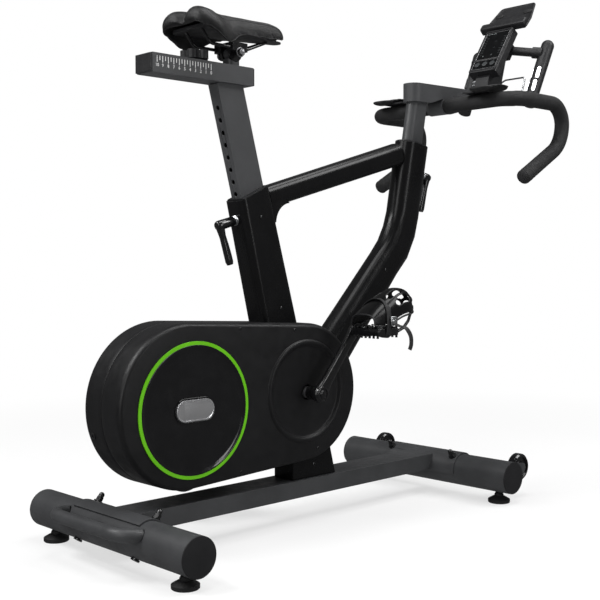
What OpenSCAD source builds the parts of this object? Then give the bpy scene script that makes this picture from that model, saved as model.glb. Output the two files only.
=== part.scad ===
/* [Base] */
// Distance between the two floor tubes, axis to axis
base_length = 938; // [900:1:980]
// Length of each floor tube
stabilizer_length = 520; // [500:5:560]
// Diameter of each floor tube
stabilizer_diameter = 76; // [74:1:78]
// Height of the floor tubes' axes above the floor
stabilizer_height = 63; // [61:1:65]
// Width of the main beam
beam_width = 80; // [70:1:90]
// Height of the main beam
beam_height = 38; // [34:1:40]
// Diameter of each levelling foot
foot_diameter = 52; // [44:1:58]
// Diameter of each transport wheel
wheel_diameter = 66; // [60:1:70]

/* [Frame] */
// Backward lean of the seat tube, in degrees
seat_lean = 15; // [14:0.5:16]
// Forward lean of the head tube, in degrees
bar_lean = 11.3; // [11:0.1:11.6]
// Width of the frame tubes
tube_width = 60; // [58:1:62]
// Height of the crank axle above the floor
crank_height = 293; // [290:1:296]

/* [Casing] */
// Width of the casing over both shells
casing_width = 124; // [122:1:128]
// Radius of the casing around the flywheel
casing_rear_radius = 165; // [162:1:168]
// Radius of the casing around the crank
casing_front_radius = 150; // [148:1:153]
// Wall of the casing shells
casing_wall = 3; // [2.5:0.5:3.5]
// Outer radius of the coloured ring
ring_radius = 136; // [134:1:138]

/* [Drive] */
// Length of each crank arm
crank_length = 170; // [165:1:172]
// Angle of the right crank arm above the horizontal
crank_angle = 50.8; // [40:0.1:60]
// Diameter of the flywheel
flywheel_diameter = 256; // [240:1:258]
// Radius of the large belt pulley
drive_pulley_radius = 95; // [90:1:96]
// Radius of the small belt pulley
small_pulley_radius = 30; // [26:1:31]

/* [Seat] */
// Depth of the seat post, front to back
post_depth = 68; // [66:1:69]
// Width of the seat post
post_width = 30; // [28:1:31]
// Length of the seat slide
rail_length = 258; // [250:1:262]

/* [Handlebar] */
// Radius of the foam on the handlebar
foam_radius = 18; // [17:0.5:18.5]
// Radius of the steel handlebar
bar_radius = 13; // [12:0.5:13.5]
// Half the width of the drops, centre to centre
drop_y = 230; // [220:1:235]
// Tilt of the display from upright, in degrees
console_tilt = 34.2; // [30:0.1:38]
// Tilt of the tablet holder from upright, in degrees
holder_tilt = 42; // [38:1:44]

/* [Hidden] */
$fn = 64;

charcoal = "#38393b";
frame_black = "#1b1b1d";
plastic_black = "#202022";
gloss_black = "#0e0e10";
rubber_black = "#141414";
trim_green = "#58b51e";
silver = "#9a9b9d";
steel = "#b9bcc0";

gap = 0.2;
running = 0.05;
tube_wall = 2.2;
bend_lap = 0.5;
bend_step = 0.1;

// Floor tubes
stab_x = base_length / 2;
stab_r = stabilizer_diameter / 2;
stab_wall = 2;
beam_wall = 2;
beam_top = 97;
beam_bottom = beam_top - beam_height;
saddle_half_width = 112;
saddle_plate = 4;
bolt_angle = 55;
bolt_y = 98;
foot_y = 219;
foot_x = stab_x;
foot_stem_r = 5;
wheel_x = 550;
wheel_y = 216;
wheel_z = 73;
wheel_width = 22;
wheel_axle_r = 5;
handle_r = 13;
handle_x = stab_x + 69;
handle_y = 125;
handle_z = 86;

// Seat tube and post: the local frame has its z axis up the post
seat_ref = [-127, 0, 713];
seat_top_slope = atan2(13.7, 76);
seat_tube_rear = -45.5;
seat_tube_front = 41;
seat_tube_drop = 385;
cavity_depth = 72;
cavity_width = 54;
post_inside = 170;
rail_bottom = 943;
rail_top = 981;
rail_rear = -392;
rail_front = rail_rear + rail_length;
rail_width = 52;
rail_wall = 3;

// Head tube and bar post: the local frame has its z axis up the post
head_ref = [404, 0, 860];
head_half_depth = 46;
bar_post_depth = 60;
bar_post_width = 32;
bar_post_inside = 130;
stem_bottom = 972;
stem_half_width = 25;

// Casing and drive
rear_c = [-334, 0, 293];
crank_c = [-13, 0, crank_height];
casing_half = casing_width / 2;
bevel = 12;
wheel_c = [-322.6, 0, 285.6];
ring_width = 10;
fly_r = flywheel_diameter / 2;
belt_y = 44;
belt_half = 7;
axle_r = 12.5;
arm_y = 98;
arm_thick = 14;
spindle_r = 6;
pedal_y = 160;
pedal_half_length = 32;
pedal_half_width = 40;
brake_pivot = [-170, 0, 385];

// Saddle
saddle_x = -174;
knob_x = -268;
tilt_z = 1008;

// Handlebar and what it carries
bar_centre = [512, 0, 966];
pad_centre = [508, 156, 988];
// Where the foam starts on each side of the stem clamp
grip_inner = 26;
aero_y = 104;
upright_bottom = [755, aero_y + 1, 984];
upright_top = [830, aero_y + 8, 1146];
upright_r = 17;
console_ref = [690, 0, 1077];
console_width = 86;
console_length = 148;
console_depth = 28;
holder_ref = [790, 0, 1203];
holder_length = 103;
holder_half_width = 71;
tray_depth = 16;
holder_plate = 5;
key_r = 8;
key_z = 26;
key_pitch = 24;

// The origin lies under the middle of the whole machine
rear_reach = -(handle_x + handle_r);
front_reach = holder_ref[0] + holder_length * sin(holder_tilt) + holder_plate * cos(holder_tilt);
centre_shift = -(rear_reach + front_reach) / 2;

// ---------- helpers ----------

module centred()
    translate([centre_shift, 0, 0]) children();

module on_seat_axis()
    translate(seat_ref) rotate([0, -seat_lean, 0]) children();

module on_head_axis()
    translate(head_ref) rotate([0, bar_lean, 0]) children();

module on_console()
    translate(console_ref) rotate([0, console_tilt, 0]) children();

module on_holder()
    translate(holder_ref) rotate([0, holder_tilt, 0]) children();

module both_sides()
    for (side = [0, 1]) mirror([0, side, 0]) children();

// A disc or tube along +Y from y0 to y1
module y_cylinder(r, y0, y1)
    translate([0, y0, 0]) rotate([-90, 0, 0]) cylinder(r = r, h = y1 - y0);

// A plate drawn in the x-z plane, from y0 to y1
module side_plate(points, y0, y1)
    translate([0, y1, 0]) rotate([90, 0, 0]) linear_extrude(y1 - y0) polygon(points);

module rounded_box(x, y, h, r)
    union() {
        for (sx = [-1, 1], sy = [-1, 1])
            translate([sx * (x / 2 - r), sy * (y / 2 - r), 0]) cylinder(r = r, h = h);
        translate([-x / 2 + r, -y / 2, 0]) cube([x - 2 * r, y, h]);
        translate([-x / 2, -y / 2 + r, 0]) cube([x, y - 2 * r, h]);
    }

// A prism with two round ends, long along x
module slot_prism(length, width, h)
    union() {
        for (s = [-1, 1]) translate([s * (length - width) / 2, 0, 0]) cylinder(d = width, h = h);
        translate([-(length - width) / 2, -width / 2, 0]) cube([length - width, width, h]);
    }

function unit(v) = v / norm(v);
function corner_dirs(p, i) = [unit(p[i] - p[i - 1]), unit(p[i + 1] - p[i])];
function turn_angle(p, i) = let (d = corner_dirs(p, i)) acos(min(1, max(-1, d[0] * d[1])));
function trim_length(p, rads, i) =
    (i <= 0 || i >= len(p) - 1) ? 0 : rads[i - 1] * tan(turn_angle(p, i) / 2);

module along(a, b, r)
    let (d = b - a, flat = norm([d[0], d[1]]))
        translate(a) rotate([0, atan2(flat, d[2]), atan2(d[1], d[0])]) cylinder(r = r, h = norm(d));

// A round tube through the points p, with a bend of radius rads[i - 1] at each inner point i.
// The straights are a hair thinner than the bends and reach a little way into them.
module bent_tube(p, rads, r) {
    last = len(p) - 1;
    for (i = [0 : last - 1]) {
        d = unit(p[i + 1] - p[i]);
        along(p[i] + d * (trim_length(p, rads, i) - (i > 0 ? bend_lap : 0)),
            p[i + 1] - d * (trim_length(p, rads, i + 1) - (i < last - 1 ? bend_lap : 0)), r - bend_step);
    }
    for (i = [1 : last - 1]) {
        dirs = corner_dirs(p, i);
        u = dirs[0];
        n = unit(dirs[1] - (dirs[1] * u) * u);
        c = p[i] - u * trim_length(p, rads, i) + n * rads[i - 1];
        x = -n;
        z = cross(x, u);
        multmatrix([[x[0], u[0], z[0], c[0]], [x[1], u[1], z[1], c[1]], [x[2], u[2], z[2], c[2]],
                    [0, 0, 0, 1]])
            rotate_extrude(angle = turn_angle(p, i)) translate([rads[i - 1], 0]) circle(r = r, $fn = 32);
    }
}

// ---------- base ----------

module base_beam()
    color(charcoal) {
        difference() {
            translate([-stab_x, -beam_width / 2, beam_bottom]) cube([base_length, beam_width, beam_height]);
            translate([-stab_x, -beam_width / 2 + beam_wall, beam_bottom + beam_wall])
                cube([base_length, beam_width - 2 * beam_wall, beam_height - 2 * beam_wall]);
            for (s = [-1, 1]) translate([s * stab_x, 0, stabilizer_height])
                y_cylinder(stab_r + saddle_plate - 1, -60, 60);
        }
        for (s = [0, 1]) mirror([s, 0, 0]) beam_saddle();
    }

// The curved plate that grips the floor tube, seen at the rear end
module beam_saddle()
    translate([-stab_x, 0, stabilizer_height]) difference() {
        y_cylinder(stab_r + saddle_plate, -saddle_half_width, saddle_half_width);
        y_cylinder(stab_r + gap, -saddle_half_width - 1, saddle_half_width + 1);
        side_plate([[0, 0], [80, -14], [80, -80], [-80, -80], [-80, 80], [-42, 60]],
            -saddle_half_width - 1, saddle_half_width + 1);
        for (y = [-bolt_y, bolt_y]) translate([0, y, 0]) rotate([0, 90 - bolt_angle, 0]) cylinder(r = 5.2, h = 60);
    }

// A floor tube; side is -1 at the rear and 1 at the front
module stabilizer(side)
    difference() {
        translate([side * stab_x, 0, stabilizer_height]) union() {
            difference() {
                y_cylinder(stab_r, -stabilizer_length / 2 + 2, stabilizer_length / 2 - 2);
                y_cylinder(stab_r - stab_wall, -stabilizer_length, stabilizer_length);
            }
            for (y = [-foot_y, foot_y]) translate([0, y, -stab_r + 1]) cylinder(r = 11, h = 20);
        }
        for (y = [-foot_y, foot_y]) translate([side * stab_x, y, 0])
            cylinder(r = foot_stem_r + running, h = stabilizer_height);
        for (y = [-bolt_y, bolt_y]) translate([side * stab_x, y, stabilizer_height])
            rotate([0, side * (bolt_angle - 90), 0]) translate([0, 0, -60]) cylinder(r = 5.2, h = 120);
    }

module rear_stabilizer()
    color(charcoal) stabilizer(-1);

module front_stabilizer()
    color(charcoal) {
        stabilizer(1);
        both_sides() difference() {
            side_plate([[stab_x + 34, 48], [stab_x + 34, 92], [wheel_x + 4, 84], [wheel_x + 9, 73],
                [wheel_x + 4, 62]], wheel_y + wheel_width / 2 + 2, wheel_y + wheel_width / 2 + 6);
            translate([stab_x, 0, stabilizer_height]) y_cylinder(stab_r - 1, -400, 400);
        }
        both_sides() translate([wheel_x, 0, wheel_z])
            y_cylinder(wheel_axle_r, wheel_y - wheel_width / 2 - 3, wheel_y + wheel_width / 2 + 4);
    }

module stabilizer_caps()
    color(charcoal) for (side = [-1, 1]) both_sides()
        translate([side * stab_x, 0, stabilizer_height]) {
            y_cylinder(stab_r, stabilizer_length / 2 - 1.8, stabilizer_length / 2);
            y_cylinder(stab_r - stab_wall - gap, stabilizer_length / 2 - 14, stabilizer_length / 2 - 1.8);
        }

// A carriage bolt through saddle and tube with its cap nut
module beam_bolts()
    color(steel) for (side = [-1, 1], y = [-bolt_y, bolt_y])
        translate([side * stab_x, y, stabilizer_height]) rotate([0, side * (bolt_angle - 90), 0]) {
            translate([0, 0, -stab_r - 4]) cylinder(r = 9, h = 3.6);
            translate([0, 0, -stab_r - 1]) cylinder(r = 4.9, h = 2 * stab_r + 22);
            translate([0, 0, stab_r + saddle_plate + gap]) cylinder(r = 9.5, h = 2);
            translate([0, 0, stab_r + saddle_plate + gap + 2]) cylinder(r = 7.5, h = 8, $fn = 6);
            translate([0, 0, stab_r + saddle_plate + gap + 10]) cylinder(r = 5.8, h = 5);
            translate([0, 0, stab_r + saddle_plate + gap + 15]) sphere(r = 5.8);
        }

// The U-shaped grip behind the rear floor tube
module carry_handle()
    color(charcoal) difference() {
        bent_tube([[-stab_x - 15, -handle_y, handle_z - 6], [-handle_x, -handle_y, handle_z],
            [-handle_x, handle_y, handle_z], [-stab_x - 15, handle_y, handle_z - 6]], [38, 38], handle_r);
        translate([-stab_x, 0, stabilizer_height]) y_cylinder(stab_r + gap, -300, 300);
    }

module levelling_foot(x, y)
    color(rubber_black) translate([x, y, 0]) {
        rotate_extrude() polygon([[0, 0], [foot_diameter / 2 - 1.5, 0], [foot_diameter / 2, 1.5],
            [foot_diameter / 2, 8], [foot_diameter / 2 - 3, 10], [15, 14.5], [11, 15.5], [11, 19], [9, 23], [0, 23]]);
        translate([0, 0, 22]) cylinder(r = foot_stem_r, h = 26);
    }

module foot_rear_right() levelling_foot(-foot_x, -foot_y);
module foot_rear_left() levelling_foot(-foot_x, foot_y);
module foot_front_right() levelling_foot(foot_x, -foot_y);
module foot_front_left() levelling_foot(foot_x, foot_y);

module transport_wheel()
    color(rubber_black) translate([wheel_x, wheel_y, wheel_z]) rotate([90, 0, 0]) rotate_extrude()
        polygon([[wheel_axle_r + running, -wheel_width / 2], [12, -wheel_width / 2], [14, -wheel_width / 2 + 5],
            [23, -wheel_width / 2 + 5], [25, -wheel_width / 2], [wheel_diameter / 2 - 4, -wheel_width / 2],
            [wheel_diameter / 2, -wheel_width / 2 + 4], [wheel_diameter / 2, wheel_width / 2 - 4],
            [wheel_diameter / 2 - 4, wheel_width / 2], [25, wheel_width / 2], [23, wheel_width / 2 - 5],
            [14, wheel_width / 2 - 5], [12, wheel_width / 2], [wheel_axle_r + running, wheel_width / 2]]);

module transport_wheel_left() transport_wheel();
module transport_wheel_right() mirror([0, 1, 0]) transport_wheel();

// The welded foot of the frame, standing on the beam and reaching into the casing
pedestal_points = [[-30, beam_top + gap], [103, beam_top + gap], [85, 166], [76, 190], [-30, 190]];
module pedestal()
    color(frame_black) difference() {
        side_plate(pedestal_points, -31, 31);
        side_plate([[-25, beam_top - 1], [96, beam_top - 1], [80, 162], [72, 186], [-25, 186]], -28, 28);
    }

// ---------- frame ----------

// A thin slice of a tube with rounded edges, from x0 to x1 in its local frame
module tube_slice(x0, x1, half_width, r, h)
    translate([(x0 + x1) / 2, 0, 0]) rounded_box(x1 - x0, 2 * half_width, h, r, $fn = 32);

module seat_tube_solid(grow = 0)
    on_seat_axis() hull() {
        translate([0, 0, 30]) tube_slice(seat_tube_rear - grow, seat_tube_front + grow, tube_width / 2 + grow, 16, 1);
        translate([0, 0, -seat_tube_drop])
            tube_slice(seat_tube_rear - 12 - grow, seat_tube_front + 6 + grow, tube_width / 2 + grow, 16, 1);
    }

module seat_tube()
    color(frame_black) {
        difference() {
            seat_tube_solid();
            on_seat_axis() {
                translate([-cavity_depth / 2 - 1, -cavity_width / 2, -seat_tube_drop + 30])
                    cube([cavity_depth + 1, cavity_width, seat_tube_drop + 60]);
                translate([seat_tube_rear - 1, 0, 1]) rotate([0, -seat_top_slope, 0])
                    translate([-60, -60, 0]) cube([200, 120, 80]);
                translate([seat_tube_rear - 20, 0, -38]) rotate([0, 90, 0]) cylinder(r = 8.05, h = 40);
            }
            // thin walls below the sleeve
            intersection() {
                seat_tube_solid(-tube_wall);
                on_seat_axis() translate([-100, -60, 30 - seat_tube_drop]) cube([200, 120, seat_tube_drop - 105]);
            }
            translate([-120, 0, 670]) y_cylinder(3, -31, -28.5);
            translate([-64, 0, 476]) y_cylinder(3, -31, -28.5);
        }
        seat_gusset();
    }

// The round fillet between the seat tube and the top tube
module seat_gusset()
    difference() {
        side_plate([[-88, 660], [-76, 655], [-25, 702], [-41, 712], [-92, 712]], -22, 22);
        translate([-24, 0, 660]) y_cylinder(44, -30, 30);
        on_seat_axis() translate([-60, -40, -200]) cube([98, 80, 300]);
    }

module top_tube_solid(inset)
    hull() {
        translate([-112, 0, 706]) rotate([0, 74, 0]) tube_slice(inset - 24, 24 - inset, 23 - inset, 18 - inset, 1);
        translate([345, 0, 835]) rotate([0, 74, 0]) tube_slice(inset - 27, 27 - inset, 23 - inset, 18 - inset, 1);
    }

module top_tube()
    color(frame_black) difference() {
        top_tube_solid(0);
        top_tube_solid(tube_wall);
        on_seat_axis() translate([-120, -60, -200]) cube([120 + seat_tube_front + gap, 120, 230]);
        on_head_axis() translate([-head_half_depth - gap, -60, -200]) cube([200, 120, 400]);
    }

// A frame tube slice, a slot seen along the tube, centred on (x, z) and square to the angle
module frame_slice(x, z, angle, half_depth, inset = 0)
    translate([x, 0, z]) rotate([0, angle, 0])
        slot_prism(2 * (half_depth - inset), tube_width - 2 * inset, 1, $fn = 32);

module down_tube_solid()
    union() {
        hull() {
            frame_slice(52, 301, 43, 54);
            frame_slice(298, 568, 43, 44);
        }
        hull() {
            frame_slice(298, 568, 43, 44);
            frame_slice(333, 605, 35, 46);
        }
        hull() {
            frame_slice(333, 605, 35, 46);
            frame_slice(357, 648, 20, 46);
        }
        hull() {
            frame_slice(357, 648, 20, 46);
            frame_slice(370, 690, 11.3, 45);
        }
        hull() {
            frame_slice(370, 690, 11.3, 45);
            on_head_axis() slot_prism(2 * head_half_depth, tube_width, 1, $fn = 32);
        }
    }

module down_tube()
    color(frame_black) difference() {
        down_tube_solid();
        hull() {
            frame_slice(46, 295, 43, 54, tube_wall);
            frame_slice(297, 567, 43, 44, tube_wall);
        }
        hull() {
            frame_slice(296, 566, 43, 44, tube_wall + 3);
            frame_slice(357, 648, 20, 46, tube_wall + 3);
        }
        hull() {
            frame_slice(356, 647, 20, 46, tube_wall + 3);
            frame_slice(370, 690, 11.3, 45, tube_wall + 3);
        }
        on_head_axis() translate([-34, -20, -212]) cube([68, 40, 240]);
        on_head_axis() translate([20, 0, -62]) rotate([0, 90, 0]) cylinder(r = 8.05, h = 60);
        translate([crank_c[0], 0, crank_c[2]]) y_cylinder(60, -60, 60);
        translate([276, 0, 555]) y_cylinder(3, -31, -28.5);
    }

// Crank shell, spine and flywheel stays inside the casing
module drive_frame()
    color(charcoal) {
        difference() {
            union() {
                translate(crank_c) y_cylinder(24, -34, 34);
                on_seat_axis() translate([-46, -26, -436]) cube([86, 52, 436 - seat_tube_drop - gap]);
                translate([-46, -25, 190 + gap]) cube([66, 50, 90]);
                // brackets to the down tube's foot
                for (y = [-24, 20])
                    side_plate([[-10, 250], [40, 262], [62, 296], [38, 318], [8, 300]], y, y + 4);
                // stays that carry the flywheel axle
                side_plate([[-348, 264], [-348, 307], [-30, 311], [-30, 261]], -46, -42);
                side_plate([[-348, 264], [-348, 307], [-120, 311], [-120, 261]], 52, 56);
                translate([-165, -46, 263]) cube([44, 102, 46]);
                for (y = [-20, 16]) translate([-121, y, 263]) cube([80, 4, 46]);
                side_plate([[-165, 305], [-135, 305], [-158, 393], [-180, 393]], -8, 8);
            }
            translate(crank_c) y_cylinder(20.02, -40, 40);
            on_seat_axis() translate([-42, -22, -460]) cube([78, 44, 460]);
            translate([-42, -21, 160]) cube([58, 42, 106]);
            translate([-161, -42, 267]) cube([36, 94, 38]);
        }
        translate(wheel_c) y_cylinder(8, -46, 56);
        translate(brake_pivot) y_cylinder(4, -28, 28);
    }

module bearing(outer, inner, y0, y1)
    difference() {
        y_cylinder(outer, y0, y1);
        y_cylinder(inner, y0 - 1, y1 + 1);
    }

module bearings()
    color(steel) {
        translate(crank_c) both_sides() bearing(20, axle_r + running, 22, 34);
        translate(wheel_c) bearing(16, 8.02, -34, -24);
        translate(wheel_c) bearing(16, 8.02, 24, 34);
    }

// ---------- casing ----------

module casing_outline(shrink, y1)
    hull() {
        translate(rear_c) y_cylinder(casing_rear_radius - shrink, -1, y1 - bevel, $fn = 96);
        translate(crank_c) y_cylinder(casing_front_radius - shrink, -1, y1 - bevel, $fn = 96);
        translate(rear_c) y_cylinder(casing_rear_radius - 7 - shrink, y1 - 1, y1, $fn = 96);
        translate(crank_c) y_cylinder(casing_front_radius - bevel - shrink, y1 - 1, y1, $fn = 96);
    }

// One half of the drive casing, on the +Y side
module casing_shell()
    difference() {
        union() {
            casing_outline(0, casing_half);
            translate([-18, casing_half - 0.5, 296]) rotate([-90, 0, 0]) rotate_extrude()
                polygon([[97, 0], [112.5, 0], [112.5, 1], [109, 3.5], [104, 3.5], [97, 1]]);
        }
        casing_outline(casing_wall, casing_half - casing_wall);
        translate([-600, -50, 0]) cube([900, 50 + gap / 2, 700]);
        translate(wheel_c) y_cylinder(ring_radius - ring_width, 40, 90);
        translate(crank_c) y_cylinder(17, 40, 90);
        // where the seat tube, the down tube and the pedestal pass through
        side_plate([[-151, 510], [-16, 510], [40, 330], [-90, 330]], -31, 31.5);
        side_plate([[40, 370], [80, 460], [190, 400], [160, 315], [110, 270]], -31, 31.5);
        side_plate([[-31, 120], [100, 120], [86, 167], [78, 200], [-31, 200]], -32, 31.8);
    }

module casing_left() color(plastic_black) casing_shell();
module casing_right() color(plastic_black) mirror([0, 1, 0]) casing_shell();

module ring_trims()
    color(trim_green) both_sides() translate(wheel_c) difference() {
        y_cylinder(ring_radius, casing_half + 0.05, casing_half + 2.5, $fn = 128);
        y_cylinder(ring_radius - ring_width + 0.4, casing_half - 5, casing_half + 10, $fn = 128);
    }

// The dished disc inside each ring, with the pocket for its badge
module disc_covers()
    color(gloss_black) both_sides() translate(wheel_c) difference() {
        y_cylinder(ring_radius - ring_width - 0.3, casing_half - 4.5, casing_half + 0.8);
        translate([0, casing_half + 0.8, 0]) rotate([90, 0, 0]) cylinder(r1 = 118, r2 = 110, h = 1.2);
        translate([0, casing_half - 2, 0]) rotate([-90, 0, 0]) slot_prism(94, 44, 10);
    }

module disc_badges()
    color(silver) both_sides() translate(wheel_c + [0, casing_half - 1.9, 0])
        rotate([-90, 0, 0]) slot_prism(93, 43, 4.4);

module power_inlet()
    color(rubber_black) translate(rear_c) rotate([0, -18, 0]) translate([-casing_rear_radius, 40, 0])
        difference() {
            rotate([0, 90, 0]) translate([0, 0, -1.5]) cylinder(r = 7, h = 16);
            rotate([0, 90, 0]) translate([0, 0, -2]) cylinder(r = 3, h = 12);
        }

// ---------- drive ----------

module belt_outline(grow, y0, y1)
    hull() {
        translate(crank_c) y_cylinder(drive_pulley_radius + grow, y0, y1, $fn = 96);
        translate(wheel_c) y_cylinder(small_pulley_radius + grow, y0, y1, $fn = 96);
    }

module drive_belt()
    color(rubber_black) difference() {
        belt_outline(2.8, belt_y - belt_half + 1, belt_y + belt_half - 1);
        belt_outline(0.3, belt_y - belt_half, belt_y + belt_half);
    }

module brake_motor()
    color(plastic_black) {
        translate([-155, -18, 405]) cube([36, 36, 30]);
        translate([-119, -8, 410]) cube([4.5, 16, 20]);
    }

module post_sleeves()
    color(plastic_black) {
        on_seat_axis() difference() {
            translate([-cavity_depth / 2 - 0.8, -cavity_width / 2 + gap, -70])
                cube([cavity_depth + 0.6, cavity_width - 2 * gap, 110]);
            translate([-post_depth / 2 - 0.3, -post_width / 2 - 0.3, -80])
                cube([post_depth + 0.6, post_width + 0.6, 140]);
            translate([seat_tube_rear - 1, 0, 3]) rotate([0, -seat_top_slope, 0])
                translate([-60, -60, 0]) cube([200, 120, 80]);
            translate([seat_tube_rear - 20, 0, -38]) rotate([0, 90, 0]) cylinder(r = 8.05, h = 40);
        }
        on_head_axis() difference() {
            union() {
                translate([-33.8, -19.8, -70]) cube([67.6, 39.6, 71.6]);
                translate([0, 0, 1.2]) slot_prism(2 * head_half_depth, tube_width, 3);
            }
            translate([0, 0, -80]) slot_prism(bar_post_depth + 0.6, bar_post_width + 0.6, 100);
            translate([20, 0, -62]) rotate([0, 90, 0]) cylinder(r = 8.05, h = 60);
        }
    }

module crank_axle()
    color(steel) translate(crank_c) {
        y_cylinder(axle_r, -60, 60);
        y_cylinder(9, -arm_y - 6, arm_y + 6);
    }

module drive_pulley()
    color(plastic_black) translate(crank_c) difference() {
        y_cylinder(drive_pulley_radius, belt_y - belt_half, belt_y + belt_half);
        y_cylinder(axle_r + 0.02, 0, 100);
        difference() {
            y_cylinder(drive_pulley_radius - 8, belt_y + 1, belt_y + belt_half + 1);
            y_cylinder(22, 0, 100);
        }
        for (a = [0 : 60 : 300]) rotate([0, a, 0]) translate([54, 0, 0]) y_cylinder(17, 0, 100);
    }

// One crank arm in its own frame, lying along +X on the -Y side
module crank_arm()
    difference() {
        union() {
            y_cylinder(19, -arm_y - arm_thick / 2, -arm_y + arm_thick / 2 + 2);
            translate([crank_length, 0, 0]) y_cylinder(14, -arm_y - arm_thick / 2, -arm_y + arm_thick / 2);
            side_plate([[6, -13], [crank_length, -11], [crank_length, 11], [6, 13]],
                -arm_y - arm_thick / 2, -arm_y + arm_thick / 2);
        }
        y_cylinder(9.02, -arm_y - 20, -arm_y + 20);
        translate([crank_length, 0, 0]) y_cylinder(spindle_r + 0.02, -arm_y - 20, -arm_y + 20);
    }

module at_crank(side)
    translate(crank_c) rotate([0, -crank_angle + (side > 0 ? 180 : 0), 0]) children();

module crank_arms()
    color(gloss_black) {
        at_crank(-1) crank_arm();
        at_crank(1) mirror([0, 1, 0]) crank_arm();
    }

module pedal_spindle()
    translate([crank_length, 0, 0]) {
        y_cylinder(spindle_r, -pedal_y - pedal_half_width + 4, -arm_y + arm_thick / 2);
        y_cylinder(8.5, -pedal_y + pedal_half_width + 1.5, -arm_y - arm_thick / 2 - 0.3);
    }

module pedal_spindles()
    color(steel) {
        at_crank(-1) pedal_spindle();
        at_crank(1) mirror([0, 1, 0]) pedal_spindle();
    }

// Pedal frame around its own spindle axis, on the -Y side
module pedal_body()
    color(gloss_black) difference() {
        translate([0, -pedal_y, 0]) {
            difference() {
                translate([0, 0, -11]) rounded_box(2 * pedal_half_length, 2 * pedal_half_width, 22, 9);
                for (s = [-1, 1]) translate([s * 18.5, 0, -12]) rounded_box(15, 62, 24, 4);
            }
            y_cylinder(12.5, -pedal_half_width, pedal_half_width);
            for (x = [-1, 1], k = [-2 : 2]) translate([x * (pedal_half_length - 3), k * 15, -14.5])
                cylinder(r = 1.8, h = 29, $fn = 16);
        }
        y_cylinder(spindle_r + running, -pedal_y - pedal_half_width + 2.5, 0);
    }

module at_pedal(side)
    translate(crank_c + crank_length * side * -1 * [cos(crank_angle), 0, sin(crank_angle)]) children();

module pedal_right() at_pedal(-1) pedal_body();
module pedal_left() at_pedal(1) mirror([0, 1, 0]) rotate([0, 180, 0]) pedal_body();

// The side line of the toe cage, from the pedal's front, round the toe and back over the foot
function cage_line(t) = let (a = 1 - t)
    a * a * a * [34, -4] + 3 * a * a * t * [150, 14] + 3 * a * t * t * [136, 108] + t * t * t * [34, 92];
function cage_normal(t) = let (d = cage_line(min(1, t + 0.01)) - cage_line(max(0, t - 0.01)))
    unit([-d[1], d[0]]);
cage_steps = 16;
cage_band = concat([for (i = [0 : cage_steps]) cage_line(i / cage_steps)],
    [for (i = [cage_steps : -1 : 0]) cage_line(i / cage_steps) + 3.2 * cage_normal(i / cage_steps)]);

module toe_cage_body()
    color(gloss_black) translate([0, -pedal_y, 0]) difference() {
        union() {
            side_plate(cage_band, -34, 34);
            side_plate([[33, -9], [36.5, -9], [36.5, 9], [33, 9]], -30, 30);
        }
        for (s = [-1, 1]) translate([0, s * 17, 0]) side_plate([[60, -20], [140, -20], [140, 60], [60, 60]], -9, 9);
        translate([0, 0, 75]) side_plate([[72, 0], [106, -20], [106, 40], [72, 40]], -20, 20);
    }

module toe_cage_right() at_pedal(-1) toe_cage_body();
module toe_cage_left() at_pedal(1) mirror([0, 1, 0]) rotate([0, 180, 0]) toe_cage_body();

module flywheel()
    color(steel) translate(wheel_c) difference() {
        union() {
            y_cylinder(fly_r, -15, 15);
            y_cylinder(28, -37, belt_y - belt_half);
            y_cylinder(small_pulley_radius, belt_y - belt_half, belt_y + belt_half);
        }
        for (s = [0, 1]) mirror([0, s, 0]) difference() {
            y_cylinder(fly_r - 26, 5, 16);
            y_cylinder(34, 0, 30);
        }
        y_cylinder(16 + running, -36, 100);
        y_cylinder(12, -60, 100);
    }

function rim_point(r, a) = [wheel_c[0] - brake_pivot[0] + r * cos(a), wheel_c[2] - brake_pivot[2] + r * sin(a)];
bracket_points = concat([[8, -8], [8, 10], [-10, 14]], [for (a = [52 : 6 : 88]) rim_point(139, a)],
    [for (a = [88 : -6 : 52]) rim_point(98, a)], [[-14, -10]]);
module magnet_bracket()
    color(charcoal) translate(brake_pivot) difference() {
        union() {
            for (s = [-1, 1]) side_plate(bracket_points, s * 23.5 - 1.5, s * 23.5 + 1.5);
            side_plate(concat([for (a = [52 : 6 : 88]) rim_point(139, a)],
                [for (a = [88 : -6 : 52]) rim_point(135.5, a)]), -22, 22);
        }
        y_cylinder(4 + running, -40, 40);
    }

module brake_magnets()
    color(steel) translate(brake_pivot) for (s = [-1, 1], a = [58, 70, 82])
        translate([rim_point(112, a)[0], s * 19.8, rim_point(112, a)[1]]) y_cylinder(9, -2, 2);

// ---------- seat ----------

module seat_post()
    color(charcoal) {
        on_seat_axis() difference() {
            translate([-post_depth / 2, -post_width / 2, -post_inside])
                cube([post_depth, post_width, post_inside + 245]);
            translate([-post_depth / 2 + 3, -post_width / 2 + 3, -post_inside - 1])
                cube([post_depth - 6, post_width - 6, post_inside + 230]);
            for (k = [-5 : 7]) translate([-post_depth / 2 - 1, 0, 14 + 26 * k]) rotate([0, 90, 0])
                cylinder(r = 5, h = 8);
            rotate([0, seat_lean, 0]) translate([-200, -40, rail_bottom - seat_ref[2] + 2])
                cube([400, 80, 80]);
        }
        difference() {
            translate([rail_rear, -rail_width / 2, rail_bottom]) cube([rail_length, rail_width, rail_top - rail_bottom]);
            translate([rail_rear - 1, -rail_width / 2 + rail_wall, rail_bottom + rail_wall])
                cube([rail_length + 2, rail_width - 2 * rail_wall, rail_top - rail_bottom - 2 * rail_wall]);
            translate([rail_rear + 14, -9, rail_top - 10]) cube([rail_length - 18, 18, 20]);
        }
    }

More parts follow.
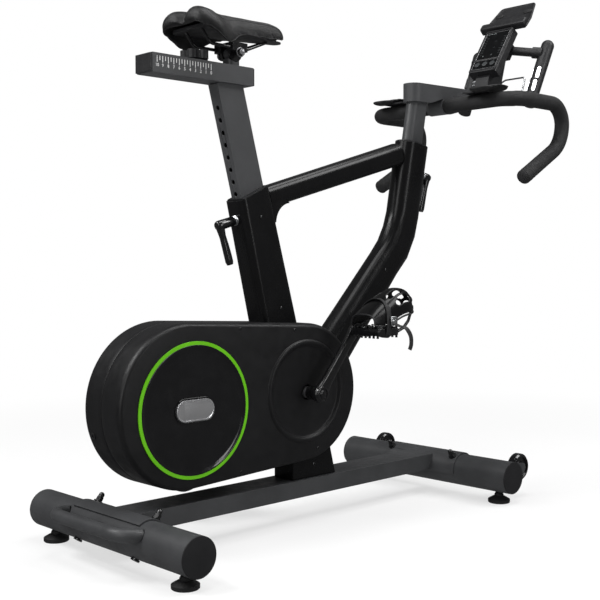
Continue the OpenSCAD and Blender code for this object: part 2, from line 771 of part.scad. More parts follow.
module rail_end_caps()
    color(plastic_black) for (x = [[rail_rear - 4, rail_rear - gap], [rail_front + gap, rail_front + 3]])
        side_plate([[x[0], rail_bottom + 1], [x[1], rail_bottom + 1], [x[1], rail_top - 1], [x[0], rail_top - 1]],
            -rail_width / 2 + 1, rail_width / 2 - 1);

// The block inside the slide, with the stub that carries the saddle
module saddle_carriage()
    color(charcoal) difference() {
        union() {
            translate([-292, -rail_width / 2 + rail_wall + 0.4, rail_bottom + rail_wall + 0.4])
                cube([130, rail_width - 2 * rail_wall - 0.8, rail_top - rail_bottom - 2 * rail_wall - 0.8]);
            translate([saddle_x, 0, rail_top - 5]) rounded_box(26, 16, 12, 5);
            translate([saddle_x, 0, rail_top + 0.5]) rounded_box(30, 30, tilt_z - rail_top - 12, 10);
            translate([saddle_x, 0, tilt_z]) y_cylinder(13, -9, 9);
            translate([saddle_x - 9, -9, tilt_z - 14]) cube([18, 18, 12]);
        }
        translate([saddle_x, 0, tilt_z]) y_cylinder(4 + running, -20, 20);
        translate([knob_x, 0, rail_bottom + 12]) cylinder(r = 5 + running, h = 40);
        for (s = [-1, 1]) translate([saddle_x, s * 12.2, tilt_z]) y_cylinder(18, -3.1, 3.1);
    }

module slide_knob()
    color(plastic_black) translate([knob_x, 0, rail_top + 0.6]) {
        cylinder(r = 16, h = 5);
        for (a = [0 : 72 : 288]) rotate([0, 0, a]) translate([20, 0, 3]) cylinder(r = 10, h = 17);
        translate([0, 0, 4]) cylinder(r = 22, h = 15);
        translate([0, 0, -20]) cylinder(r = 5, h = 22);
    }

// The clamp that grips the saddle rails and turns on the carriage's stub
module saddle_clamp()
    color(plastic_black) difference() {
        translate([saddle_x, 0, tilt_z]) {
            both_sides() y_cylinder(17, 9.4, 15);
            both_sides() side_plate([[-20, 2], [20, 2], [20, 18], [-20, 18]], 9.4, 30);
            translate([-20, -30, 14]) cube([40, 60, 6]);
            y_cylinder(4, -34, 34);
            both_sides() y_cylinder(8, 30.2, 36);
        }
        for (y = [-22, 22]) translate([saddle_x - 30, y, tilt_z + 9]) rotate([0, 90, 0]) cylinder(r = 3.6, h = 60);
    }

module saddle_rails()
    color(steel) both_sides()
        bent_tube([[-272, 26, 1044], [-250, 26, tilt_z + 9], [-150, 22, tilt_z + 9], [-84, 9, 1043]],
            [20, 40], 3.5);

module saddle_shell()
    color(plastic_black) hull() {
        for (y = [-40, 40]) translate([-266, y, 1042]) cylinder(r = 22, h = 6, $fn = 32);
        translate([-180, 0, 1042]) cylinder(r = 28, h = 6, $fn = 32);
        translate([-52, 0, 1046]) cylinder(r = 14, h = 3, $fn = 32);
    }

// The cover and its padding: two tail lobes, wings that drape over the shell's sides, and the nose
module saddle_pad()
    color(rubber_black) union() {
        difference() {
            hull() {
                both_sides() {
                    translate([-284, 44, 1056]) sphere(r = 27, $fn = 28);
                    translate([-258, 52, 1047]) sphere(r = 25, $fn = 24);
                }
                translate([-150, 0, 1060]) sphere(r = 25, $fn = 24);
                translate([-50, 0, 1064]) sphere(r = 18, $fn = 24);
            }
            translate([-400, -200, 900]) cube([500, 400, 148.3]);
        }
        both_sides() hull() {
            translate([-288, 66, 1045]) sphere(r = 9, $fn = 16);
            translate([-240, 64, 1036]) sphere(r = 9, $fn = 16);
            translate([-206, 47, 1044]) sphere(r = 8, $fn = 16);
            translate([-258, 60, 1056]) sphere(r = 12, $fn = 16);
        }
    }

// An L-shaped clamp lever on a screw; it lies along +X from the tube face, its grip hanging down
module clamp_lever(standoff, pin_inside)
    union() {
        translate([-pin_inside, 0, 0]) rotate([0, 90, 0]) cylinder(r = 8, h = pin_inside + 2);
        translate([0.5, 0, 0]) rotate([0, 90, 0]) cylinder(r = 11, h = 6);
        translate([6, 0, 0]) rotate([0, 90, 0]) cylinder(r = 9.5, h = standoff - 6);
        translate([standoff, 0, 0]) sphere(r = 11.5);
        translate([standoff, 0, -84]) rotate([0, -6, 0]) cylinder(r1 = 8, r2 = 9.5, h = 84);
        translate([standoff + 8, 0, -84]) sphere(r = 8);
    }

module seat_lever()
    color(plastic_black) on_seat_axis() translate([seat_tube_rear - 2, 0, -38]) mirror([1, 0, 0])
        clamp_lever(46, 9);

module bar_lever()
    color(plastic_black) on_head_axis() translate([head_half_depth + 0.5, 0, -62]) clamp_lever(30, 13);

// ---------- handlebar ----------

module bar_post()
    color(charcoal) {
        on_head_axis() difference() {
            translate([0, 0, -bar_post_inside]) slot_prism(bar_post_depth, bar_post_width, bar_post_inside + 118);
            translate([0, 0, -bar_post_inside - 1])
                slot_prism(bar_post_depth - 2 * tube_wall, bar_post_width - 2 * tube_wall, bar_post_inside + 110);
        }
        difference() {
            union() {
                side_plate([[412, 968], [412, 1013], [600, 1017], [716, 1019], [716, 1005], [640, 1001],
                    [560, 996], [500, 984], [470, 974], [450, 968]], -stem_half_width, stem_half_width);
                translate([412, 0, 968]) cylinder(r = stem_half_width, h = 45);
            }
            side_plate([[545, 999], [545, 1012], [600, 1014], [712, 1016], [712, 1009], [640, 1005]], -22, 22);
            translate(bar_centre) y_cylinder(bar_radius + 0.02, -60, 60);
        }
        difference() {
            translate(bar_centre) union() {
                y_cylinder(bar_radius + 8, -stem_half_width, stem_half_width);
                translate([-16, -stem_half_width, 0]) cube([44, 2 * stem_half_width, 30]);
            }
            translate(bar_centre) y_cylinder(bar_radius + 0.02, -60, 60);
        }
    }

// The left half of the handlebar's route, from its corner to the tip
bar_half = [[bar_centre[0], drop_y, bar_centre[2]], [722, drop_y, 966], [708, drop_y, 867], [549, drop_y, 778]];
bar_bends = [60, 50, 80];
function mirrored(p) = [for (i = [len(p) - 1 : -1 : 0]) [p[i][0], -p[i][1], p[i][2]]];
function reversed(v) = [for (i = [len(v) - 1 : -1 : 0]) v[i]];
tip_dir = unit(bar_half[3] - bar_half[2]);
bar_route = concat(mirrored(bar_half), bar_half);
bar_route_bends = concat(reversed(bar_bends), bar_bends);
grip_start = bar_centre + [0, grip_inner, 0];

module handlebar()
    color(charcoal) difference() {
        bent_tube(bar_route, bar_route_bends, bar_radius);
        bent_tube(bar_route, bar_route_bends, bar_radius - 2);
    }

// Foam sleeves, closed over the ends of the bar
module bar_grips()
    color(rubber_black) both_sides() difference() {
        bent_tube(concat([grip_start], [for (i = [0 : 2]) bar_half[i]], [bar_half[3] + 9 * tip_dir]),
            bar_bends, foam_radius);
        bent_tube(concat([grip_start], [for (i = [0 : 2]) bar_half[i]], [bar_half[3] + 0.2 * tip_dir]),
            bar_bends, bar_radius + 0.1);
    }

// Extension tubes, uprights, cross tubes and the bridge between them
module aero_frame()
    color(charcoal) {
        both_sides() {
            // extension tube, from the bar through the front of the foam
            bent_tube([bar_centre + [bar_radius + 0.2, aero_y, 0], [690, aero_y, 984], upright_bottom + [9, 1, 19]], [60], 9);
            difference() {
                along(upright_bottom, upright_top, upright_r - bend_step);
                along(upright_bottom + 0.03 * (upright_top - upright_bottom),
                    upright_bottom + 0.7 * (upright_top - upright_bottom), upright_r - tube_wall);
            }
            translate(upright_top) sphere(r = upright_r);
            along([811, aero_y + 5, 1126], [782, 20, 1142], 11.5);
            along([811, aero_y + 5, 1126], [803, 84, 1130], 15);
            // bracket under the arm pad
            translate([pad_centre[0] - 27, aero_y - 6, pad_centre[2] - 3.4]) cube([67, 64, 3.6]);
            translate([536, aero_y - 6, 966]) cube([12, 12, 19]);
        }
        translate([782, -26, 1142]) rotate([0, console_tilt, 0]) translate([-9, 0, -22]) cube([24, 52, 44]);
        translate([735, -aero_y, 1000]) cube([26, 2 * aero_y, 6]);
    }

// Metal strips on the uprights that read the pulse
module pulse_sensors()
    color(steel) both_sides() for (k = [0.28, 0.50], turn = [-120, 150])
        translate(upright_bottom + k * (upright_top - upright_bottom))
            rotate([0, atan2(88, 191), 0]) rotate([0, 0, turn]) translate([upright_r - 1, 0, 0])
                slot_strip(34, 9);

module slot_strip(length, width)
    rotate([0, 90, 0]) slot_prism(length, width, 2.2);

// Curved forearm rests above the bar
module arm_pads()
    color(rubber_black) both_sides() translate(pad_centre) rotate([0, -4, 0]) intersection() {
        difference() {
            translate([-80, 0, 100]) rotate([0, 90, 0]) cylinder(r = 100, h = 160);
            translate([-81, 0, 104]) rotate([0, 90, 0]) cylinder(r = 95, h = 162);
        }
        translate([0, 0, -5]) slot_prism(110, 76, 50);
    }

// ---------- display ----------

module console_body()
    color(plastic_black) difference() {
        union() {
            on_console() translate([console_depth / 2, 0, 0])
                rounded_box(console_depth, console_width, console_length, 6);
            side_plate([[684, 1019.3], [742, 1019.3], [772, 1120], [748, 1130], [712, 1078], [694, 1062]], -21, 21);
        }
        on_console() translate([-1, -37, 44]) cube([2.6, 74, 96]);
        on_console() for (k = [-1 : 1]) translate([-1, k * key_pitch, key_z]) rotate([0, 90, 0])
            cylinder(r = key_r + 0.4, h = 8);
    }

module console_screen()
    color(gloss_black) on_console() translate([0.4, -36.5, 44.5]) cube([1, 73, 95]);

module console_key(k)
    color(gloss_black) on_console() translate([-1.6, k * key_pitch, key_z]) rotate([0, 90, 0])
        cylinder(r = key_r, h = 6.5);

module key_left() console_key(1);
module key_centre() console_key(0);
module key_right() console_key(-1);

// The tray and back plate for a tablet, on a bracket behind the display
module tablet_holder()
    color(plastic_black) {
        on_holder() {
            translate([0, 0, 0]) rotate([0, 90, 0]) rotate([0, 0, 90]) linear_extrude(holder_plate)
                polygon([[-holder_half_width, 0], [holder_half_width, 0], [holder_half_width, 30],
                    [holder_half_width - 12, holder_length - 8], [holder_half_width - 22, holder_length],
                    [-holder_half_width + 22, holder_length], [-holder_half_width + 12, holder_length - 8],
                    [-holder_half_width, 30]]);
            translate([-tray_depth, -holder_half_width, -4])
                cube([tray_depth + holder_plate, 2 * holder_half_width, 4.5]);
            translate([-tray_depth, -holder_half_width, -4]) cube([4, 2 * holder_half_width, 22]);
        }
        side_plate([[770, 1192], [800, 1188], [812, 1206], [790, 1212]], -18, 18);
    }

centred() base_beam();
centred() rear_stabilizer();
centred() front_stabilizer();
centred() stabilizer_caps();
centred() beam_bolts();
centred() carry_handle();
centred() pedestal();
centred() seat_tube();
centred() top_tube();
centred() down_tube();
centred() drive_frame();
centred() bearings();
centred() casing_right();
centred() casing_left();
centred() ring_trims();
centred() disc_covers();
centred() disc_badges();
centred() power_inlet();
centred() drive_belt();
centred() brake_motor();
centred() post_sleeves();
centred() foot_rear_right();
centred() foot_rear_left();
centred() foot_front_right();
centred() foot_front_left();
centred() transport_wheel_right();
centred() transport_wheel_left();
centred() crank_axle();
centred() drive_pulley();
centred() crank_arms();
centred() pedal_spindles();
centred() pedal_right();
centred() pedal_left();
centred() toe_cage_right();
centred() toe_cage_left();
centred() flywheel();
centred() magnet_bracket();
centred() brake_magnets();
centred() seat_post();
centred() rail_end_caps();
centred() saddle_carriage();
centred() slide_knob();
centred() saddle_clamp();
centred() saddle_rails();
centred() saddle_shell();
centred() saddle_pad();
centred() seat_lever();
centred() bar_post();
centred() bar_lever();
centred() handlebar();
centred() bar_grips();
centred() aero_frame();
centred() pulse_sensors();
centred() arm_pads();
centred() console_body();
centred() console_screen();
centred() key_left();
centred() key_centre();
centred() key_right();
centred() tablet_holder();
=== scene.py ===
import math

import bmesh
import bpy
from mathutils import Matrix, Vector
from mathutils.bvhtree import BVHTree


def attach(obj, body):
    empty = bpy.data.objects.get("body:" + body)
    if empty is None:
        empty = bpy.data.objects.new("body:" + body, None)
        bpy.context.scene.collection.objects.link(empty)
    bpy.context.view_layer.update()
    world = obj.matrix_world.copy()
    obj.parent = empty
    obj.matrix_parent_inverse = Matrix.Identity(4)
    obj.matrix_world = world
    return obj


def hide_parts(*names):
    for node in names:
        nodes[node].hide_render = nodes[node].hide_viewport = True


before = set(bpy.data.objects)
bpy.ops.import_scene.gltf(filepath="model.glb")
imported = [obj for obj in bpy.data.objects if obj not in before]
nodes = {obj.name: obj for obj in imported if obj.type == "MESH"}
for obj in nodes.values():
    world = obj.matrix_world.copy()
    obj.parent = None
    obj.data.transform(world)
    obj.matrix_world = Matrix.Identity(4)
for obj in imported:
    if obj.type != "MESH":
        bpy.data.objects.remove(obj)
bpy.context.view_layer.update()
SHIFT = -155.82
MM = 0.001


def P(x, y, z):
    """A point given in millimetres from the middle of the base, in the row frame in metres."""
    return Vector(((x + SHIFT) * MM, y * MM, z * MM))


def lerp(a, b, t):
    return a + (b - a) * t


def smooth(t):
    t = max(0.0, min(1.0, t))
    return t * t * (3 - 2 * t)


def spline(a, b, c, d, t):
    """A smooth step from b to c at t from 0 to 1, led by the neighbours a and d; numbers or vectors."""
    return 0.5 * (2 * b + (c - a) * t + (2 * a - 5 * b + 4 * c - d) * t * t
                  + (3 * b - a - 3 * c + d) * t ** 3)


def around(items, i):
    """The four items about the gap from i to i + 1, with the first and the last repeated."""
    return items[max(i - 1, 0)], items[i], items[i + 1], items[min(i + 2, len(items) - 1)]


def turn(n):
    """Angles of n even steps round a circle."""
    return [2 * math.pi * k / n for k in range(n)]


def squared(v, power):
    """A sine or cosine pushed out towards the corners of its square; a lower power is squarer."""
    return math.copysign(abs(v) ** power, v)


# ---------- materials ----------


def set_inputs(node, values):
    """Gives the named inputs of a shader node their values."""
    for key, value in values.items():
        node.inputs[key].default_value = value
    return node


def material(name, color, rough=0.5, metallic=0.0, spec=0.5, grain=(0, 0.0), vary=0.15, spread=0.08,
             stretch=(1, 1, 1), coat=0.0, sheen=0.0, cells=None, wear=0.0):
    """A surface with blotchy colour and gloss, fine grain relief and, where asked, cells or worn patches.
    """
    m = bpy.data.materials.new(name)
    m.use_nodes = True
    nt = m.node_tree
    b = set_inputs(nt.nodes["Principled BSDF"], {"Metallic": metallic, "Specular IOR Level": spec,
                   "Coat Weight": coat, "Coat Roughness": 0.12, "Sheen Weight": sheen})
    coord = nt.nodes.new("ShaderNodeTexCoord")
    scale = set_inputs(nt.nodes.new("ShaderNodeMapping"), {"Scale": stretch})
    nt.links.new(coord.outputs["Object"], scale.inputs["Vector"])

    def noise(size, detail=3.0):
        n = set_inputs(nt.nodes.new("ShaderNodeTexNoise"), {"Scale": size, "Detail": detail})
        nt.links.new(scale.outputs["Vector"], n.inputs["Vector"])
        return n

    def ranged(source, low, high, a=0.3, z=0.7):
        r = set_inputs(nt.nodes.new("ShaderNodeMapRange"),
                       {"From Min": a, "From Max": z, "To Min": low, "To Max": high})
        nt.links.new(source, r.inputs["Value"])
        return r.outputs["Result"]

    blotch = noise(14.0, 5.0)
    mix = nt.nodes.new("ShaderNodeMix")
    mix.data_type = "RGBA"
    mix.inputs["A"].default_value = (*[c * (1 - vary) for c in color], 1)
    mix.inputs["B"].default_value = (*[min(1, c * (1 + vary)) for c in color], 1)
    nt.links.new(ranged(blotch.outputs["Fac"], 0, 1), mix.inputs["Factor"])
    shade = mix.outputs["Result"]
    gloss = noise(55.0, 4.0)
    if wear:
        scuff = noise(160.0, 8.0)
        rub = nt.nodes.new("ShaderNodeMix")
        rub.data_type = "RGBA"
        nt.links.new(ranged(scuff.outputs["Fac"], 0, wear, 0.62, 0.78), rub.inputs["Factor"])
        nt.links.new(shade, rub.inputs["A"])
        rub.inputs["B"].default_value = (*[min(1, c * 2.4 + 0.01) for c in color], 1)
        shade = rub.outputs["Result"]
    nt.links.new(shade, b.inputs["Base Color"])
    worn = ranged(gloss.outputs["Fac"], max(0.03, rough - spread), min(1, rough + spread))
    nt.links.new(worn, b.inputs["Roughness"])
    size, strength = grain
    if size:
        fine = noise(size, 2.0)
        height = fine.outputs["Fac"]
        if cells:
            v = nt.nodes.new("ShaderNodeTexVoronoi")
            v.feature = "DISTANCE_TO_EDGE"
            v.inputs["Scale"].default_value = cells
            nt.links.new(scale.outputs["Vector"], v.inputs["Vector"])
            crease = ranged(v.outputs["Distance"], 0, 1, 0.0, 0.12)
            add = nt.nodes.new("ShaderNodeMath")
            add.operation = "ADD"
            nt.links.new(crease, add.inputs[0])
            nt.links.new(height, add.inputs[1])
            height = add.outputs[0]
        bump = set_inputs(nt.nodes.new("ShaderNodeBump"), {"Strength": strength, "Distance": 0.0006})
        nt.links.new(height, bump.inputs["Height"])
        nt.links.new(bump.outputs["Normal"], b.inputs["Normal"])
    return m


charcoal = material("charcoal_coat", (0.038, 0.039, 0.041), 0.44, spec=0.34, grain=(1500, 0.30), wear=0.10)
black_coat = material("black_coat", (0.0044, 0.0044, 0.0047), 0.25, spec=0.19, grain=(900, 0.04), spread=0.03,
                      wear=0.02)
casing_black = material("casing_plastic", (0.0060, 0.0060, 0.0065), 0.40, spec=0.26, grain=(2200, 0.22),
                        wear=0.04)
plastic = material("black_plastic", (0.010, 0.010, 0.011), 0.45, spec=0.32, grain=(2400, 0.30), wear=0.06)
gloss = material("gloss_black", (0.0040, 0.0040, 0.0045), 0.16, spec=0.42, grain=(400, 0.03), coat=0.3)
enamel = material("black_paint", (0.0045, 0.0045, 0.005), 0.22, spec=0.5, grain=(700, 0.05), coat=0.4,
                  wear=0.06)
green = material("green_trim", (0.108, 0.415, 0.0035), 0.34, spec=0.25, grain=(900, 0.05), vary=0.06)
badge_plate = material("badge_silver", (0.235, 0.235, 0.240), 0.42, metallic=0.55, grain=(1800, 0.2),
                       vary=0.10, stretch=(0.08, 1, 1))
badge_rim = material("badge_rim", (0.78, 0.78, 0.80), 0.20, metallic=0.9, grain=(1200, 0.08), vary=0.04)
steel = material("steel", (0.50, 0.51, 0.52), 0.28, metallic=1.0, grain=(1500, 0.15), stretch=(1, 0.2, 1),
                 wear=0.2)
bright = material("chrome_strip", (0.80, 0.81, 0.83), 0.12, metallic=1.0, grain=(900, 0.04), vary=0.05)
cast = material("cast_steel", (0.26, 0.26, 0.27), 0.38, metallic=0.9, grain=(900, 0.2), stretch=(1, 0.2, 1))
rubber = material("black_rubber", (0.0085, 0.0085, 0.009), 0.62, spec=0.30, grain=(1900, 0.45), wear=0.15)
foam = material("foam", (0.0120, 0.0120, 0.0126), 0.66, spec=0.30, grain=(2600, 0.55), cells=900)
leather = material("saddle_cover", (0.0050, 0.0050, 0.0054), 0.42, spec=0.26, grain=(1500, 0.30), cells=620,
                   sheen=0.02)
stitch = material("stitching", (0.020, 0.020, 0.022), 0.7, grain=(3000, 0.4))
screen_glass = material("screen", (0.0022, 0.0024, 0.0027), 0.30, spec=0.16, grain=(500, 0.02))
screen_line = material("screen_marks", (0.30, 0.33, 0.33), 0.4, grain=(800, 0.05))
screen_dim = material("screen_dim", (0.035, 0.038, 0.040), 0.35, grain=(800, 0.05))
white_print = material("white_print", (0.72, 0.72, 0.72), 0.5, grain=(1500, 0.1), vary=0.08)
webbing = material("webbing", (0.012, 0.012, 0.013), 0.55, spec=0.4, grain=(1600, 0.8), stretch=(1, 6, 1))
grey_insert = material("grey_insert", (0.20, 0.20, 0.205), 0.42, grain=(1500, 0.25), wear=0.1)


def dress(obj, mat):
    obj.data.materials.clear()
    obj.data.materials.append(mat)


def soften(obj, width):
    """Rounded edges and clean shading for a CAD node."""
    if "custom_normal" in obj.data.attributes:
        obj.data.attributes.remove(obj.data.attributes["custom_normal"])
    for f in obj.data.polygons:
        f.use_smooth = True
    weld = obj.modifiers.new("weld", "WELD")
    weld.merge_threshold = 0.00002
    if width:
        bev = obj.modifiers.new("edge", "BEVEL")
        bev.width = width * MM
        bev.segments = 2
        bev.angle_limit = math.radians(32)
    obj.modifiers.new("normals", "WEIGHTED_NORMAL").weight = 80


# material, edge rounding in millimetres, nodes
CAD_LOOKS = (
    (charcoal, 0, "carry_handle handlebar"), (charcoal, 0.5, "magnet_bracket"),
    (charcoal, 0.6, "rear_stabilizer front_stabilizer drive_frame"), (charcoal, 0.8, "saddle_carriage"),
    (charcoal, 1.0, "seat_post"), (charcoal, 1.2, "bar_post"), (charcoal, 1.5, "base_beam"),
    (black_coat, 0, "down_tube"), (black_coat, 0.4, "top_tube"), (black_coat, 0.8, "seat_tube"),
    (black_coat, 3.0, "pedestal"), (casing_black, 0, "casing_right casing_left"),
    (plastic, 0.5, "power_inlet"),
    (plastic, 0.6, "post_sleeves drive_pulley saddle_shell aero_frame"),
    (plastic, 0.8, "rail_end_caps seat_lever bar_lever"),
    (plastic, 1.0, "brake_motor slide_knob console_body"),
    (plastic, 1.2, "stabilizer_caps tablet_holder"), (enamel, 0, "saddle_rails"), (enamel, 0.4, "beam_bolts"),
    (enamel, 0.8, "pedal_right pedal_left saddle_clamp"), (enamel, 2.5, "crank_arms"),
    (gloss, 0.5, "toe_cage_right toe_cage_left key_left key_centre key_right"),
    (gloss, 0.6, "transport_wheel_right transport_wheel_left"), (gloss, 0.8, "disc_covers"),
    (rubber, 0, "drive_belt"),
    (rubber, 0.4, "foot_rear_right foot_rear_left foot_front_right foot_front_left"),
    (cast, 0.4, "bearings crank_axle"), (cast, 0.6, "flywheel"), (steel, 0.3, "brake_magnets"),
    (steel, 0.4, "pedal_spindles"), (green, 0.7, "ring_trims"), (badge_plate, 0, "disc_badges"),
    (leather, 0.6, "saddle_pad"), (foam, 0, "bar_grips"), (foam, 1.5, "arm_pads"),
    (bright, 0.3, "pulse_sensors"), (screen_glass, 0.3, "console_screen"),
)
for mat, width, names in CAD_LOOKS:
    for name in names.split():
        dress(nodes[name], mat)
        soften(nodes[name], width)


# ---------- mesh helpers ----------

def piece(name, verts, faces, mat, body, stands_for=(), flat_angle=None):
    """A mesh piece riding on a CAD body; faces keep hard edges above flat_angle degrees."""
    me = bpy.data.meshes.new(name)
    me.from_pydata([tuple(v) for v in verts], [], faces)
    bm = bmesh.new()
    bm.from_mesh(me)
    bmesh.ops.remove_doubles(bm, verts=bm.verts, dist=1e-6)
    bmesh.ops.recalc_face_normals(bm, faces=bm.faces)
    bm.to_mesh(me)
    bm.free()
    return finish_piece(name, me, mat, body, stands_for, flat_angle)


def finish_piece(name, me, mat, body, stands_for=(), flat_angle=None):
    obj = bpy.data.objects.new(name, me)
    bpy.context.collection.objects.link(obj)
    me.materials.append(mat)
    me.shade_smooth()
    if flat_angle:
        sharp_edges(me, flat_angle)
    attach(obj, body)
    if stands_for:
        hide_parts(*stands_for)
    return obj


def sharp_edges(me, degrees):
    bm = bmesh.new()
    bm.from_mesh(me)
    limit = math.radians(degrees)
    for e in bm.edges:
        e.smooth = len(e.link_faces) == 2 and e.calc_face_angle(0) < limit
    bm.to_mesh(me)
    bm.free()


def joined(name, parts, mat, body, stands_for=(), flat_angle=None):
    """Several (verts, faces) lists as one piece."""
    verts, faces = [], []
    for v, f in parts:
        k = len(verts)
        verts += list(v)
        faces += [tuple(i + k for i in face) for face in f]
    return piece(name, verts, faces, mat, body, stands_for, flat_angle)


def loft(rings, close_ring=True, caps=True):
    """Skins a list of equal-length rings of points."""
    n = len(rings[0])
    verts = [v for ring in rings for v in ring]
    faces = []
    for i in range(len(rings) - 1):
        for j in range(n if close_ring else n - 1):
            k = (j + 1) % n
            faces.append((i * n + j, i * n + k, (i + 1) * n + k, (i + 1) * n + j))
    if caps:
        faces.append(tuple(range(n - 1, -1, -1)))
        faces.append(tuple((len(rings) - 1) * n + j for j in range(n)))
    return verts, faces


def frames_along(path):
    """A side and an up vector at each point of a path, carried along without twist."""
    last = len(path) - 1
    tangents = [(path[min(i + 1, last)] - path[max(i - 1, 0)]).normalized() for i in range(last + 1)]
    side = tangents[0].orthogonal().normalized()
    out = []
    for t in tangents:
        side = (side - t * side.dot(t)).normalized()
        out.append((side, t.cross(side)))
    return out


def tube(path, radius, n=20, round_ends=0, squash=(1, 1)):
    """A tube round a path in metres; radius is in millimetres, one number or one for each point."""
    radii = list(radius) if isinstance(radius, (list, tuple)) else [radius] * len(path)
    path = list(path)
    if round_ends:
        head, tail = (path[0] - path[1]).normalized(), (path[-1] - path[-2]).normalized()
        steps = 6
        r0, r1 = radii[0], radii[-1]
        angles = [math.pi / 2 * (k + 1) / steps for k in range(steps)]
        path = [path[0] + head * r0 * MM * round_ends * math.sin(a) for a in reversed(angles)] + path
        radii = [max(0.02, r0 * math.cos(a)) for a in reversed(angles)] + radii
        path += [path[-1] + tail * r1 * MM * round_ends * math.sin(a) for a in angles]
        radii += [max(0.02, r1 * math.cos(a)) for a in angles]
    rings = []
    for p, r, (s, u) in zip(path, radii, frames_along(path)):
        rings.append([p + (s * math.cos(a) * squash[0] + u * math.sin(a) * squash[1]) * r * MM
                      for a in turn(n)])
    return loft(rings)


def filleted(points, radii, step=4.0):
    """The path through points in millimetres with a bend at each inner point."""
    pts = [Vector(p) for p in points]
    out = [pts[0]]
    for i in range(1, len(pts) - 1):
        u, v = (pts[i] - pts[i - 1]).normalized(), (pts[i + 1] - pts[i]).normalized()
        bend = u.angle(v)
        r = radii[i - 1]
        cut = r * math.tan(bend / 2)
        centre = pts[i] - u * cut + (v - u * u.dot(v)).normalized() * r
        a = pts[i] - u * cut - centre
        axis = u.cross(v).normalized()
        count = max(3, int(r * bend / step))
        out += [centre + Matrix.Rotation(bend * k / count, 3, axis) @ a for k in range(count + 1)]
    out.append(pts[-1])
    full = [out[0]]
    for p in out[1:]:
        extra = int((p - full[-1]).length / 12)
        for k in range(extra):
            full.append(lerp(full[-1], p, 1 / (extra + 1 - k)))
        full.append(p)
    return [P(*p) for p in full]


def lathe(profile, origin, axis, n=48):
    """Turns (distance along the axis, radius) pairs in millimetres about an axis."""
    axis = Vector(axis).normalized()
    s = axis.orthogonal().normalized()
    u = axis.cross(s)
    rings = [[origin + axis * h * MM + (s * math.cos(a) + u * math.sin(a)) * max(r, 0.01) * MM
              for a in turn(n)] for h, r in profile]
    return loft(rings)


def screw(name, origin, normal, r, body, mat, standing):
    """A button-head screw with a socket."""
    profile = [(-0.5, r), (standing * 0.35, r), (standing * 0.8, r * 0.82), (standing, r * 0.5),
               (standing, r * 0.42), (0.2, r * 0.36), (0.1, 0.01)]
    joined(name, [lathe(profile, origin, normal, 20)], mat, body, flat_angle=50)


# ---------- drive casing ----------

SIDE = {-1: "right", 1: "left"}
REAR, REAR_R = (-334.0, 293.0), 165.0
FRONT, FRONT_R = (-13.0, 293.0), 150.0
WHEEL = (-322.6, 285.6)
CASING_FACE = 61.9
RIM_STEPS = 128


def casing_outline(rear_in, front_in, y, n=150):
    """Points round the casing at height y, drawn in by the two amounts at its ends."""
    r0, r1 = REAR_R - rear_in, FRONT_R - front_in
    d = FRONT[0] - REAR[0]
    t = math.acos((r0 - r1) / d)

    def on(end, r, a):
        return end[0] + r * math.cos(a), end[1] + r * math.sin(a)

    def straight(p, q):
        return [(lerp(p[0], q[0], k / 24), lerp(p[1], q[1], k / 24)) for k in range(1, 24)]
    rear = [on(REAR, r0, t + (2 * math.pi - 2 * t) * k / (n - 1)) for k in range(n)]
    front = [on(FRONT, r1, -t + 2 * t * k / (n - 1)) for k in range(n)]
    under = straight(on(REAR, r0, -t), on(FRONT, r1, -t))
    over = straight(on(FRONT, r1, t), on(REAR, r0, t))
    return [P(x, y, z) for x, z in rear + under + front + over]


def circle(cx, cz, r, y, n=96):
    return [P(cx + r * math.cos(a), y, cz + r * math.sin(a)) for a in turn(n)]


def casing_half(name, side, node):
    """One moulded half: seam lip, wall, rounded shoulder, then the flat face with its two holes."""
    rows = [(a, a, y) for a, y in ((2.5, 0.3), (0.9, 0.4), (0.25, 0.9), (0, 1.7), (0, 12), (0, 30), (0, 44),
                                   (0, 49))]
    for k in range(1, 10):
        a = math.pi / 2 * k / 9
        rows.append((8.0 * (1 - math.cos(a)), 11.0 * (1 - math.cos(a)), 49 + 12.9 * math.sin(a)))
    bm = bmesh.new()
    rings = [[bm.verts.new(p) for p in casing_outline(a, b, side * y)] for a, b, y in rows]
    n = len(rings[0])
    for lower, upper in zip(rings, rings[1:]):
        for j in range(n):
            bm.faces.new((lower[j], lower[(j + 1) % n], upper[(j + 1) % n], upper[j]))
    face_y = side * CASING_FACE

    def loop(verts):
        pairs = zip(verts, verts[1:] + verts[:1])
        return [bm.edges.get(pair) or bm.edges.new(pair) for pair in pairs]

    def rim(cx, cz, r, y):
        return [bm.verts.new(p) for p in circle(cx, cz, r, y, RIM_STEPS)]
    disc, deep = rim(*WHEEL, 126.4, face_y), rim(*WHEEL, 126.4, side * 57)
    dish = [rim(-18, 296, r, side * (CASING_FACE + dy)) for r, dy in
            ((112.6, 0.0), (111.4, 1.6), (108.5, 3.3), (105.0, 3.5), (101.5, 2.2), (99.5, -0.6), (97.5, -2.2),
             (94.5, -2.6))]
    hub, hub_in = rim(*FRONT, 17, side * 59.3), rim(*FRONT, 17, side * 52)
    edges = loop(rings[-1]) + loop(disc) + loop(dish[0])
    bmesh.ops.triangle_fill(bm, edges=edges, use_beauty=True)
    edges = loop(dish[-1]) + loop(hub)
    bmesh.ops.triangle_fill(bm, edges=edges, use_beauty=True)
    for a, b in [(disc, deep), (hub, hub_in)] + list(zip(dish, dish[1:])):
        for j in range(RIM_STEPS):
            k = (j + 1) % RIM_STEPS
            bm.faces.new((a[j], a[k], b[k], b[j]))
    bmesh.ops.recalc_face_normals(bm, faces=bm.faces)
    me = bpy.data.meshes.new(name)
    bm.to_mesh(me)
    bm.free()
    finish_piece(name, me, casing_black, "frame", (node,), 38)


